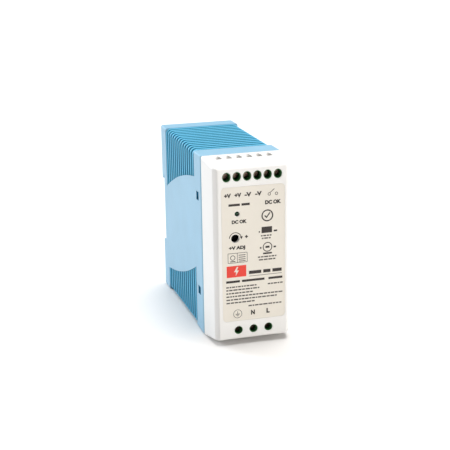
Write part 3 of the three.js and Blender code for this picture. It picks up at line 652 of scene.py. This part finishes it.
def rear_housing(*blues):
    shell = housing_body()
    combine(shell, rib_cutter())
    combine(shell, cavity())
    combine(shell, board_rails(), "UNION")
    for cutter in (vent_cutters(), rail_recess(), latch_channel(), window_cutters()):
        combine(shell, cutter)
    tidy_mesh(shell)
    repaint(shell, *blues)
    paint_housing(shell)
    soften(shell, 0.12 * MM, segments=2, angle=50)
    place(shell, CASE, "housing_blue", "rear_housing")


# ---------------- front cover
def cover_outline(y):
    """Half width and end drop of the cover at depth y, on its straight taper."""
    t = (PARTING_Y - y) / (PARTING_Y - FRONT_Y)
    return HALF_WIDTH - COVER_SIDE_TAPER * t, COVER_END_TAPER * t


def cover_stations():
    """(y, half width, end drop) from the parting plane to the front face."""
    stations = []
    for step, shrink in COVER_EDGE:
        y = COVER_REAR_Y - step * MM
        half, drop = cover_outline(y)
        stations.append((y, half - shrink * MM, drop + 0.3 * shrink * MM))
    for y, half in COVER_BREAK:
        stations.append((y * MM, half * MM, cover_outline(y * MM)[1]))
    for y, half, drop in COVER_ROUNDING:
        stations.append((y * MM, half * MM, drop * MM))
    return stations


def cover_solid():
    rings = []
    for y, half, drop in cover_stations():
        section = rounded_section(half, drop, HEIGHT - drop, COVER_CORNER, 6)
        rings.append([(x, y, z) for x, z in section])
    return rings_solid("front_cover_shell", rings)


def cover_inside():
    rings = []
    for y in (FRONT_Y + COVER_WALL, PARTING_Y + MM):
        half, drop = cover_outline(y)
        half -= COVER_WALL
        drop += COVER_WALL
        section = rounded_section(half, drop, HEIGHT - drop, 0.4 * MM, 3)
        rings.append([(x, y, z) for x, z in section])
    return rings_solid("inside", rings)


def flared_hole(x, z, radius, stretch):
    """A cutter for a round hole with a softly rounded rim in the front face."""
    rim = HOLE_RIM
    profile = [(0, FRONT_Y - MM), (radius + rim, FRONT_Y - MM), (radius + rim, FRONT_Y)]
    for angle in quarter_turn(4):
        profile.append((radius + rim - rim * math.sin(angle), FRONT_Y + rim - rim * math.cos(angle)))
    profile += [(radius, FRONT_Y + COVER_WALL + MM), (0, FRONT_Y + COVER_WALL + MM)]
    cutter = turned("hole", profile, 64)
    for vertex in cutter.data.vertices:
        vertex.co.z *= stretch
        vertex.co += Vector((x, 0, z))
    return cutter


def wire_entry(x, z):
    """A cutter for the arched mouth where a wire goes in: flat in front, round and flared behind."""
    front, rear = WIRE_ENTRY_Y
    inward = -1 if z > MID_Z else 1
    angles = [math.pi * k / 24 for k in range(25)]
    rings = []
    for depth, flare in WIRE_ENTRY_FLARE:
        reach = rear - front + flare * MM
        level = z + inward * depth * MM
        ring = [(x + WIRE_ENTRY_HALF * math.cos(a), front + reach * math.sin(a), level) for a in angles]
        rings.append(ring)
    return rings_solid("wire_entry", rings)


def hole_cutters():
    cutters = [flared_hole(*LED, 1), flared_hole(*TRIMMER, 1)]
    for (z, xs), stretch, entry_z in ((OUTPUT_POLES, OUTPUT_HOLE_STRETCH, HEIGHT), (INPUT_POLES, 1, 0)):
        for x in xs:
            cutters.append(flared_hole(x, z, SCREW_HOLE_RADIUS, stretch))
            cutters.append(wire_entry(x, entry_z))
    return joined("holes", cutters)


def frame_of(name, y, outer, inner, inner_y):
    """A rectangular frame; outer and inner are (half width, bottom, top) in millimetres."""
    solid, hole = [cuboid(name, (-half * MM, half * MM), depths, (bottom * MM, top * MM))
                   for (half, bottom, top), depths in ((outer, y), (inner, inner_y))]
    combine(solid, hole)
    return solid


def snap_hook(side, z):
    """A hook of the cover that catches in a window of the housing."""
    outline = [(15.5, -31.6), (16.5, -31.6), (16.5, -26.9), (19.3, -26.9), (19.3, -25.9), (16.5, -23.7),
               (16.5, -22), (15.5, -22)]
    height = WINDOW_HALF_HEIGHT - 0.5 * MM
    rings = [[(side * x * MM, y * MM, level) for x, y in outline] for level in (z - height, z + height)]
    return rings_solid("hook", rings)


def cover_fittings():
    """The tongue that goes into the housing, the step it stands on and the four snap hooks."""
    tongue = frame_of("tongue", (-35 * MM, -30.6 * MM), (16.5, 3.5, 86.5), (15.5, 4.5, 85.5),
                      (-36 * MM, -29.6 * MM))
    step = frame_of("step", (-35 * MM, COVER_REAR_Y), (18.5, 1.5, 88.5), (15.5, 4.5, 85.5),
                    (-36 * MM, -31 * MM))
    combine(step, tongue, "UNION")
    for side in (-1, 1):
        for level in (-1, 1):
            combine(step, snap_hook(side, MID_Z + level * WINDOW_OFFSET), "UNION")
    return step


def label_section(grow):
    """The label's outline in (x, z), grown on all sides."""
    half = LABEL_WIDTH / 2 + grow
    section = rounded_section(half, LABEL_Z[0] - grow, LABEL_Z[1] + grow, LABEL_RADIUS, 8)
    return [(x + LABEL_X, z) for x, z in section]


def front_cover(white):
    shell = cover_solid()
    combine(shell, cover_inside())
    combine(shell, cover_fittings(), "UNION")
    combine(shell, hole_cutters())
    recess_depths = (FRONT_Y - MM, FRONT_Y + 0.22 * MM)
    combine(shell, front_prism("label_recess", label_section(0.08 * MM), recess_depths))
    tidy_mesh(shell, 0.2)
    repaint(shell, white)
    soften(shell, 0.08 * MM, segments=1, angle=60)
    place(shell, CASE, "cover_white", "front_cover")


def front_label(material):
    rings = []
    for y, grow in ((FRONT_Y + 0.2 * MM, 0), (FRONT_Y + 0.05 * MM, 0), (FRONT_Y + 0.03 * MM, -0.02 * MM)):
        rings.append([(x, y, z) for x, z in label_section(grow)])
    label = rings_solid("front_label_sheet", rings)
    for x, z, radius in (LED, TRIMMER):
        reach = radius + 0.2 * MM
        profile = [(0, FRONT_Y - MM), (reach, FRONT_Y - MM), (reach, FRONT_Y + MM), (0, FRONT_Y + MM)]
        combine(label, turned("hole", profile, 64, (x, 0, z)))
    repaint(label, material)
    place(label, CASE, "label_cream", "front_label")


# ---------------- printing on the label, in millimetres
PRINT_FRONT = FRONT_Y + 0.005 * MM
PRINT_BACK = FRONT_Y + 0.04 * MM
POLE_MARKS = [("+V", -12.0), ("+V", -7.0), ("-V", -2.1), ("-V", 3.0)]  # text, middle
WORDS = [  # text, left, right, middle height, height
    ("DC OK", 6.1, 14.0, 69.5, 2.0), ("DC OK", -10.25, -2.9, 61.3, 1.8),
    ("+V ADJ", -11.8, -3.8, 48.5, 2.15), ("+", -3.9, -2.4, 53.8, 1.5),
    ("N", -1.3, 0.7, 15.75, 2.4), ("L", 6.5, 8.1, 15.75, 2.4),
]
BOLD_BARS = [  # left, right, middle height, height
    (-11.7, -6.2, 69.5, 1.1), (-5.4, -1.4, 69.5, 1.1), (-2.1, 4.0, 35.9, 1.6), (5.0, 8.6, 35.9, 1.6),
    (9.6, 14.25, 35.9, 1.6), (-13.4, -6.6, 32.06, 1.1), (-5.6, 5.6, 32.06, 1.1), (7.6, 14.6, 32.06, 1.1),
]
FINE_BARS = [  # left, right, middle height
    (7.25, 14.75, 29.3), (-13.4, 2.1, 29.4), (-13.4, 3.0, 27.9), (-13.4, 0.3, 26.3), (-13.4, 14.9, 24.7),
    (-13.4, 11.75, 23.1), (-13.4, 0.6, 21.5), (-2.5, 14.1, 19.25), (4.0, 9.8, 53.4), (4.4, 9.4, 52.1),
    (2.4, 11.6, 43.0), (2.9, 11.2, 41.6),
]
FINE_HEIGHT = 0.65
FINE_LONGEST = 2.2
RED_PANEL = (-13.06, -3.44, 34.25, 39.9)  # left, right, bottom, top
STROKE_WEIGHT = 0.064  # how much bolder than the plain font the words are drawn
DARK_INK = (0.035, 0.028, 0.025)
FINE_INK = (0.09, 0.08, 0.07)
RED_INK = (0.82, 0.055, 0.035)


def printed(outline):
    """A thin raised patch of ink from an outline in (x, z) millimetres."""
    return front_prism("ink", [(x * MM, z * MM) for x, z in outline], (PRINT_FRONT, PRINT_BACK))


def bar(left, right, bottom, top):
    return printed([(left, bottom), (right, bottom), (right, top), (left, top)])


def stroke(start, end, width):
    a, b = Vector(start), Vector(end)
    side = (b - a).normalized().orthogonal() * width / 2
    return printed([a - side, b - side, b + side, a + side])


def arc(x, z, radius, width, start=0, end=360, steps=40):
    """A ring, or part of one, of printed line."""
    full = end - start >= 360
    rings = []
    for k in range(steps + (0 if full else 1)):
        angle = math.radians(start + (end - start) * k / steps)
        ring = []
        for r, y in ((radius + width / 2, PRINT_FRONT), (radius + width / 2, PRINT_BACK),
                     (radius - width / 2, PRINT_BACK), (radius - width / 2, PRINT_FRONT)):
            ring.append(((x + r * math.cos(angle)) * MM, y, (z + r * math.sin(angle)) * MM))
        rings.append(ring)
    return rings_solid("arc", rings, closed=full)


def lettering(words, left, right, middle, height):
    """A word as a mesh, fitted between left and right and centred on middle."""
    curve = bpy.data.curves.new("word", "FONT")
    curve.body = words
    curve.resolution_u = 3
    curve.offset = STROKE_WEIGHT
    curve.extrude = 0.5
    holder = bpy.data.objects.new("word", curve)
    bpy.context.scene.collection.objects.link(holder)
    bpy.context.view_layer.update()
    graph = bpy.context.evaluated_depsgraph_get()
    data = bpy.data.meshes.new_from_object(holder.evaluated_get(graph))
    bpy.data.objects.remove(holder)
    xs = [v.co.x for v in data.vertices]
    ys = [v.co.y for v in data.vertices]
    across = (right - left) / (max(xs) - min(xs))
    up = height / (max(ys) - min(ys))
    for vertex in data.vertices:
        x = left + (vertex.co.x - min(xs)) * across
        z = middle + (vertex.co.y - (min(ys) + max(ys)) / 2) * up
        y = PRINT_FRONT if vertex.co.z > 0 else PRINT_BACK
        vertex.co = (x * MM, y, z * MM)
    word = bpy.data.objects.new("word", data)
    bpy.context.scene.collection.objects.link(word)
    return word


def bars_like_words(left, right, middle, rng):
    """A run of plain bars of varied length that stands in for a line of print."""
    bars = []
    x = left
    while x < right - 0.3:
        length = min(rng.uniform(0.35 * FINE_LONGEST, FINE_LONGEST), right - x)
        bars.append(bar(x, x + length, middle - FINE_HEIGHT / 2, middle + FINE_HEIGHT / 2))
        x += length + 0.3 * FINE_HEIGHT + 0.15
    return bars


def bolt_sign(x, z, size):
    """A plain lightning bolt."""
    shape = [(0.12, 1), (-0.55, -0.12), (-0.08, -0.12), (-0.2, -1), (0.55, 0.2), (0.06, 0.2), (0.42, 1)]
    return [(x + a * size, z + b * size) for a, b in shape]


def earth_sign(x, z):
    """Three shrinking bars under a stem, in a ring."""
    parts = [arc(x, z, 2.05, 0.22), stroke((x, z + 1.25), (x, z - 0.1), 0.25)]
    for half, drop in ((1.1, 0.1), (0.75, 0.55), (0.35, 1.0)):
        parts.append(bar(x - half, x + half, z - drop - 0.12, z - drop + 0.12))
    return parts


def ring_signs():
    """A tick in a ring, a plain block and a ring with a bar, in place of a maker's approval marks."""
    tick = [stroke((5.9, 63.2), (6.8, 62.1), 0.55), stroke((6.7, 62.1), (8.5, 64.5), 0.55)]
    block = [bar(4.3, 9.5, 54.7, 57.7), bar(2.9, 3.5, 55.0, 55.8), bar(10.3, 12.0, 55.0, 55.8)]
    beside_ring = [bar(3.4, 4.2, 47.1, 47.9), bar(10.2, 11.4, 47.1, 47.9)]
    in_ring = [bar(6.2, 8.2, 47.2, 48.2), bar(5.0, 9.4, 44.2, 45.0)]
    return [arc(7.2, 63.1, 2.6, 0.6), *tick, *block, arc(7.2, 47.7, 2.15, 0.42), *beside_ring, *in_ring]


def boxed_sign():
    """A box in two halves: a ring over a bar on the left, four lines on the right."""
    left, right, bottom, top, middle = -12.3, -2.9, 41.4, 46.1, -7.75
    box = [(left, bottom), (right, bottom), (right, top), (left, top)]
    parts = [stroke(start, end, 0.22) for start, end in zip(box, box[1:] + box[:1])]
    parts.append(stroke((middle, bottom), (middle, top), 0.22))
    parts += [arc(-10.0, 43.9, 1.1, 0.3), bar(-11.3, -8.7, 41.9, 42.3)]
    for z in (45.0, 44.0, 43.0, 42.1):
        parts.append(bar(-7.1, -3.7, z - 0.2, z + 0.15))
    return parts


def adjustment_arrow():
    """An arc with an arrow head, round the trimmer's hole."""
    x, z = TRIMMER[0] / MM, TRIMMER[1] / MM
    tip = [(x + 2.2, z + 0.9), (x + 3.6, z + 1.0), (x + 3.05, z - 0.5)]
    return [arc(x, z, 2.95, 0.35, 20, 175, 24), printed(tip)]


def contact_sign():
    """An open contact between two small rings."""
    rings = [arc(x, 73.4, 0.62, 0.26) for x in (8.2, 11.75)]
    return [*rings, stroke((8.5, 74.0), (10.7, 75.8), 0.28)]


def print_dark():
    parts = [lettering(mark, x - 1.75, x + 1.55, 74.1, 2.1) for mark, x in POLE_MARKS]
    parts += [lettering(*word) for word in WORDS]
    for left, right, middle, height in BOLD_BARS:
        parts.append(bar(left, right, middle - height / 2, middle + height / 2))
    parts.append(bar(-2.1, 14.25, 34.0, 34.2))
    parts += contact_sign() + adjustment_arrow() + ring_signs() + boxed_sign() + earth_sign(-7.9, 15.75)
    return joined("label_print_dark", parts)


def print_fine():
    rng = random.Random(7)
    parts = []
    for left, right, middle in FINE_BARS:
        parts += bars_like_words(left, right, middle, rng)
    return joined("label_print_fine", parts)


def print_red():
    """A plain red panel with the bolt left clear in it."""
    left, right, bottom, top = RED_PANEL
    panel = bar(left, right, bottom, top)
    bolt = bolt_sign((left + right) / 2, (bottom + top) / 2, 2.2)
    combine(panel, front_prism("bolt", [(x * MM, z * MM) for x, z in bolt], (FRONT_Y - MM, FRONT_Y + MM)))
    panel.name = "label_print_red"
    return panel


def printing():
    for piece, ink in ((print_dark(), DARK_INK), (print_fine(), FINE_INK), (print_red(), RED_INK)):
        repaint(piece, moulded(piece.name, ink, 0.5, spread=0.1, grain=0.003 * MM))
        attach(piece, CASE)


# ---------------- terminals, spring, lamp, trimmer
COLLAR_WALL = 0.28 * MM
SCREW_HEAD = (1.75 * MM, 1.5 * MM)  # radius, height
SCREW_CROSS = ((0.32, 1.5), (1.05, 0.32))  # mm: half width and half height of each slot
THREAD_PITCH = 0.5 * MM
THREAD_CREST = 1.2 * MM
THREAD_ROOT = 0.98 * MM
SPRING_WIRE = 0.28 * MM  # radius
SPRING_TURNS = 7.5
LAMP_LENS = 1.0 * MM
TRIMMER_CROSS = ((0.38, 1.45), (1.45, 0.38))


def terminal_collar(x, z, stretch, rear):
    """The sleeve of a terminal block that reaches forward into its screw hole."""
    outer = SCREW_HOLE_RADIUS - 0.04 * MM
    inner = outer - COLLAR_WALL
    front, edge = FRONT_Y + 0.4 * MM, 0.12 * MM
    section = [(inner, rear), (inner, front + edge), (inner + edge, front), (outer, front), (outer, rear)]
    rings = []
    for k in range(64):
        angle = math.tau * k / 64
        rings.append([(x + r * math.cos(angle), y, z + r * stretch * math.sin(angle)) for r, y in section])
    return rings_solid("collar", rings, closed=True)


def terminal_collars(material):
    """One row of sleeves for each terminal block."""
    for block, (z, xs), stretch in (("output_terminal", OUTPUT_POLES, OUTPUT_HOLE_STRETCH),
                                    ("input_terminal", INPUT_POLES, 1)):
        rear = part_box(block + "_block")[0].y - 0.05 * MM
        collars = joined(block + "_collars", [terminal_collar(x, z, stretch, rear) for x in xs])
        collars.data.materials.append(material)
        for face in collars.data.polygons:
            face.use_smooth = True
        collars.data.set_sharp_from_angle(angle=math.radians(40))
        place(collars, CASE, "terminal_green")


def cross_cutters(x, y, z, sizes, depth):
    """Two crossing slots into a front face at y; sizes are half widths and half heights in millimetres."""
    for half_x, half_z in sizes:
        yield cuboid("slot", (x - half_x * MM, x + half_x * MM), (y - MM, y + depth),
                     (z - half_z * MM, z + half_z * MM))


def screw_head(x, y, z):
    """A domed head with a cross recess, its front at y."""
    radius, height = SCREW_HEAD
    dome = 0.35 * MM
    profile = [(0, 0)]
    for angle in quarter_turn(6):
        profile.append((radius * (0.62 + 0.38 * math.sin(angle)), dome * (1 - math.cos(angle))))
    profile += [(radius, height - 0.12 * MM), (radius - 0.12 * MM, height), (0, height)]
    head = turned("head", profile, 40, (x, y, z))
    for slot in cross_cutters(x, y, z, SCREW_CROSS, 0.75 * MM):
        combine(head, slot)
    return head


def screw_thread(x, y, end, z):
    """A threaded shank from y to end, whose crest follows a helix and whose tip narrows."""
    rings = []
    rings_per_turn = 8
    count = int((end - y) / THREAD_PITCH * rings_per_turn)
    for level in range(count + 1):
        at = y + (end - y) * level / count
        ring = []
        for i in range(24):
            turn = i / 24
            phase = ((at - y) / THREAD_PITCH - turn) % 1
            crest = 1 - abs(2 * phase - 1)
            taper = min(1, (end - at) / (0.5 * MM) + 0.35)
            r = (THREAD_ROOT + (THREAD_CREST - THREAD_ROOT) * crest) * taper
            ring.append((x + r * math.cos(2 * math.pi * turn), at, z + r * math.sin(2 * math.pi * turn)))
        rings.append(ring)
    return rings_solid("thread", rings)


def terminal_screw(name, material):
    low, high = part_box(name)
    x, z = (low.x + high.x) / 2, (low.z + high.z) / 2
    head = screw_head(x, low.y, z)
    shank = screw_thread(x, low.y + 1.2 * MM, high.y, z)
    screw = joined(name + "_detailed", [head, shank])
    repaint(screw, material)
    soften(screw, 0.05 * MM, 2, 50)
    place(screw, name, "screw_steel", name)


def latch_spring(material):
    """A coil with closed ends."""
    low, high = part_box("latch_spring")
    wire = SPRING_WIRE
    x, y = (low.x + high.x) / 2, (low.y + high.y) / 2
    coil = (high.x - low.x) / 2 - wire
    steps = 300
    bottom, top = low.z + wire, high.z - wire
    upward = Vector((0, 0, 1))
    rings = []
    for k in range(steps + 1):
        t = k / steps
        angle = 2 * math.pi * SPRING_TURNS * t
        lift = min(max((t - 0.1) / 0.8, 0), 1)
        lower_end = wire * 1.05 * (min(t, 0.1) / 0.1)
        upper_end = wire * 1.05 * (max(t - 0.9, 0) / 0.1)
        z = bottom + lower_end + (top - bottom - 2.1 * wire) * lift + upper_end
        centre = Vector((x + coil * math.cos(angle), y + coil * math.sin(angle), z))
        sideways = Vector((math.cos(angle), math.sin(angle), 0))
        ring = []
        for i in range(10):
            around = 2 * math.pi * i / 10
            ring.append(centre + wire * (math.cos(around) * sideways + math.sin(around) * upward))
        rings.append(ring)
    spring = rings_solid("latch_spring_wire", rings, material=material)
    for face in spring.data.polygons:
        face.use_smooth = len(face.vertices) == 4
    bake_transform(spring)
    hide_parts("latch_spring")


def status_lamp(material):
    """A round-nosed indicator lamp with a flange."""
    low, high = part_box("status_led")
    x, z = (low.x + high.x) / 2, (low.z + high.z) / 2
    lens = LAMP_LENS
    profile = [(0, low.y)]
    for angle in quarter_turn(8):
        profile.append((lens * math.sin(angle), low.y + lens * (1 - math.cos(angle))))
    profile += [(lens, -47.6 * MM), (1.4 * MM, -47.6 * MM), (1.5 * MM, -47.5 * MM), (1.5 * MM, -46.5 * MM),
                (1.4 * MM, -46.4 * MM), (lens, -46.4 * MM), (lens, high.y), (0, high.y)]
    lamp = turned("status_lamp", profile, 48, (x, 0, z), material)
    soften(lamp, 0.03 * MM, 2, 40)
    place(lamp, CASE, "lamp_green", "status_led")


def trimmer_rotor(material):
    """A disc with a rounded rim and a cross slot for a screwdriver."""
    low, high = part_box("trimmer_rotor")
    x, z = (low.x + high.x) / 2, (low.z + high.z) / 2
    radius = (high.x - low.x) / 2
    rim = 0.2 * MM
    profile = [(0, low.y), (radius - rim, low.y)]
    for angle in quarter_turn(4):
        profile.append((radius - rim + rim * math.sin(angle), low.y + rim - rim * math.cos(angle)))
    profile += [(radius, high.y), (0, high.y)]
    rotor = turned("trimmer_knob", profile, 48, (x, 0, z))
    for slot in cross_cutters(x, low.y, z, TRIMMER_CROSS, 0.9 * MM):
        combine(rotor, slot)
    repaint(rotor, material)
    soften(rotor, 0.05 * MM, 2, 50)
    place(rotor, "trimmer_rotor", "rotor_black", "trimmer_rotor")


# ---------------- finishes of the other CAD nodes
def wound(name, colour, spacing, axis, metallic, roughness):
    """Round wire or tape laid side by side: a fine repeating crown, with painted shade darkening the gaps
    between turns.
    """
    material = new_material(name, colour, roughness, metallic=metallic)
    shader = principled(material)
    waves = node(material, "ShaderNodeTexWave", bands_direction=axis, wave_profile="SIN",
                 Scale=0.314 / spacing, Distortion=0.6, Detail=1.0)
    link(material, object_place(material), waves.inputs["Vector"])
    # painted shade: the troughs between turns are drawn at 0.45 of the colour
    shades = ((0.1, shade(colour, 0.45)), (0.6, colour))
    link(material, ramp(material, waves.outputs["Fac"], shades), shader.inputs["Base Color"])
    link(material, bump(material, waves.outputs["Fac"], 0.15 * spacing), shader.inputs["Normal"])
    return material


def circuit_board(name):
    """Solder mask over copper: straight tracks show as a paler green, slightly raised."""
    base, track = (0.02, 0.13, 0.045), (0.05, 0.22, 0.08)
    material = new_material(name, base, 0.35)
    shader = principled(material)
    cells = node(material, "ShaderNodeTexVoronoi", feature="DISTANCE_TO_EDGE", distance="MANHATTAN",
                 Scale=260.0, Randomness=0.6)
    link(material, object_place(material), cells.inputs["Vector"])
    distance = cells.outputs["Distance"]
    link(material, ramp(material, distance, ((0.06, base), (0.12, track))), shader.inputs["Base Color"])
    weave = bump(material, noise(material, 3000), 0.01 * MM)
    link(material, bump(material, distance, 0.03 * MM, after=weave), shader.inputs["Normal"])
    return material


MOULDINGS = {  # linear colour, roughness, spread of shade, grain in mm
    "housing_blue": ((0.285, 0.505, 0.66), 0.45, 0.03, 0.02),
    "cover_white": ((0.86, 0.845, 0.82), 0.42, 0.01, 0.02),
    "label_cream": ((0.795, 0.745, 0.66), 0.5, 0.015, 0.004),
    "latch_blue": ((0.13, 0.40, 0.62), 0.42, 0.05, 0.02),
    "lamp_green": ((0.006, 0.035, 0.015), 0.12, 0.1, 0.002),
    "trimmer_black": ((0.014, 0.014, 0.016), 0.5, 0.15, 0.02),
    "rotor_black": ((0.01, 0.01, 0.011), 0.4, 0.2, 0.02),
    "terminal_green": ((0.04, 0.16, 0.05), 0.5, 0.12, 0.03),
    "moulding_black": ((0.016, 0.016, 0.017), 0.5, 0.15, 0.03),
    "varistor_blue": ((0.02, 0.09, 0.33), 0.3, 0.1, 0.02),
    "thermistor_black": ((0.02, 0.025, 0.02), 0.45, 0.2, 0.02),
    "capacitor_yellow": ((0.72, 0.42, 0.04), 0.4, 0.05, 0.02),
    "ferrite_grey": ((0.035, 0.035, 0.038), 0.75, 0.25, 0.06),
    "sleeve_black": ((0.012, 0.014, 0.022), 0.22, 0.15, 0.005),
    "sheet_paper": ((0.72, 0.68, 0.56), 0.8, 0.06, 0.05),
}
METALS = {  # linear colour, roughness, scale of the drawn lines in x, y and z (small is long)
    "spring_steel": ((0.45, 0.45, 0.46), 0.25, (0.3, 0.3, 1)),
    "screw_steel": ((0.30, 0.20, 0.16), 0.3, (1, 1, 0.3)),
    "clamp_steel": ((0.36, 0.35, 0.33), 0.35, (1, 0.3, 1)),
    "contact_brass": ((0.55, 0.40, 0.19), 0.3, (0.3, 1, 1)),
    "fuse_glass": ((0.62, 0.58, 0.48), 0.2, (1, 1, 0.3)),
    "heatsink_aluminium": ((0.62, 0.63, 0.65), 0.38, (1, 0.2, 1)),
}
WITH_PINS = (
    "bridge_rectifier", "switching_transistor", "output_rectifier", "dc_ok_relay", "optocoupler",
    "varistor", "inrush_thermistor", "x_capacitor", "transformer_winding", "output_inductor",
)


def finishes():
    """The material of each slot, by the slot's name in the record."""
    looks = {}
    for name, (colour, roughness, spread, grain) in MOULDINGS.items():
        looks[name] = moulded(name, colour, roughness, spread, grain * MM)
    for name, (colour, roughness, stretch) in METALS.items():
        looks[name] = metal(name, colour, roughness, stretch)
    looks["board_green"] = circuit_board("board_green")
    looks["copper_wire"] = wound("copper_wire", (0.55, 0.22, 0.07), 0.6 * MM, "Z", 0.6, 0.35)
    looks["winding_tape"] = wound("winding_tape", (0.72, 0.50, 0.05), 4 * MM, "X", 0.0, 0.3)
    return looks


def paint(piece, material, where):
    """Gives the faces where(centre) is true a second material."""
    piece.data.materials.append(material)
    index = len(piece.data.materials) - 1
    for face in piece.data.polygons:
        if where(face.center):
            face.material_index = index


def dress(looks, shown_by_others):
    """Gives each CAD node that stays its own finish and softened edges."""
    for part in frame["record"]["subparts"]:
        name = part["node"]
        if name in shown_by_others:
            continue
        piece = frame["nodes"][name]
        piece.data.materials.clear()
        piece.data.materials.append(looks[part["material_slot"]])
        low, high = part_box(name)
        soften(piece, min(0.15 * MM, 0.08 * min(high - low)), 2, 40)


def dress_details(looks):
    """Second colours: the glass of the fuse, the tops of the cans, the tinned pins."""
    nodes = frame["nodes"]
    low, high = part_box("fuse")
    glass = moulded("fuse_tube", (0.62, 0.70, 0.70), 0.08, spread=0.05, grain=0.001 * MM)
    middle = (low.z + high.z) / 2
    paint(nodes["fuse"], glass, lambda at: abs(at.z - middle) < 4.9 * MM)
    for name in ("bulk_capacitor", "output_capacitor_1", "output_capacitor_2"):
        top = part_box(name)[1].x
        paint(nodes[name], looks["heatsink_aluminium"], lambda at, top=top: at.x > top - 0.05 * MM)
    board_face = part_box("main_board")[1].x
    for name in WITH_PINS:
        paint(nodes[name], looks["clamp_steel"], lambda at: at.x < board_face + 0.39 * MM)


# ---------------- build
def build():
    looks = finishes()
    # painted shade: a darker, deeper blue on the rib tops stands in for the shade of the deep grooves
    # between them
    rib_painted_shade_blue = moulded("housing_rib_painted_shade_blue", (0.12, 0.49, 0.71), 0.5, specular=0.2)
    # painted shade: a deep blue for the walls and floors of the grooves and the windows' walls, where shade
    # falls
    groove_painted_shade_blue = moulded("housing_groove_painted_shade_blue", (0.028, 0.168, 0.3), 0.55, specular=0.15)
    rear_housing(looks["housing_blue"], rib_painted_shade_blue, groove_painted_shade_blue)
    front_cover(looks["cover_white"])
    front_label(looks["label_cream"])
    printing()
    screws = [name for name in frame["nodes"] if "_screw_" in name]
    for name in screws:
        terminal_screw(name, looks["screw_steel"])
    latch_spring(looks["spring_steel"])
    terminal_collars(looks["terminal_green"])
    status_lamp(looks["lamp_green"])
    trimmer_rotor(looks["rotor_black"])
    shown_by_others = {"rear_housing", "front_cover", "front_label", "latch_spring", "status_led",
                       "trimmer_rotor", *screws}
    dress(looks, shown_by_others)
    dress_details(looks)


add_camera()
add_floor()
add_light()
build()
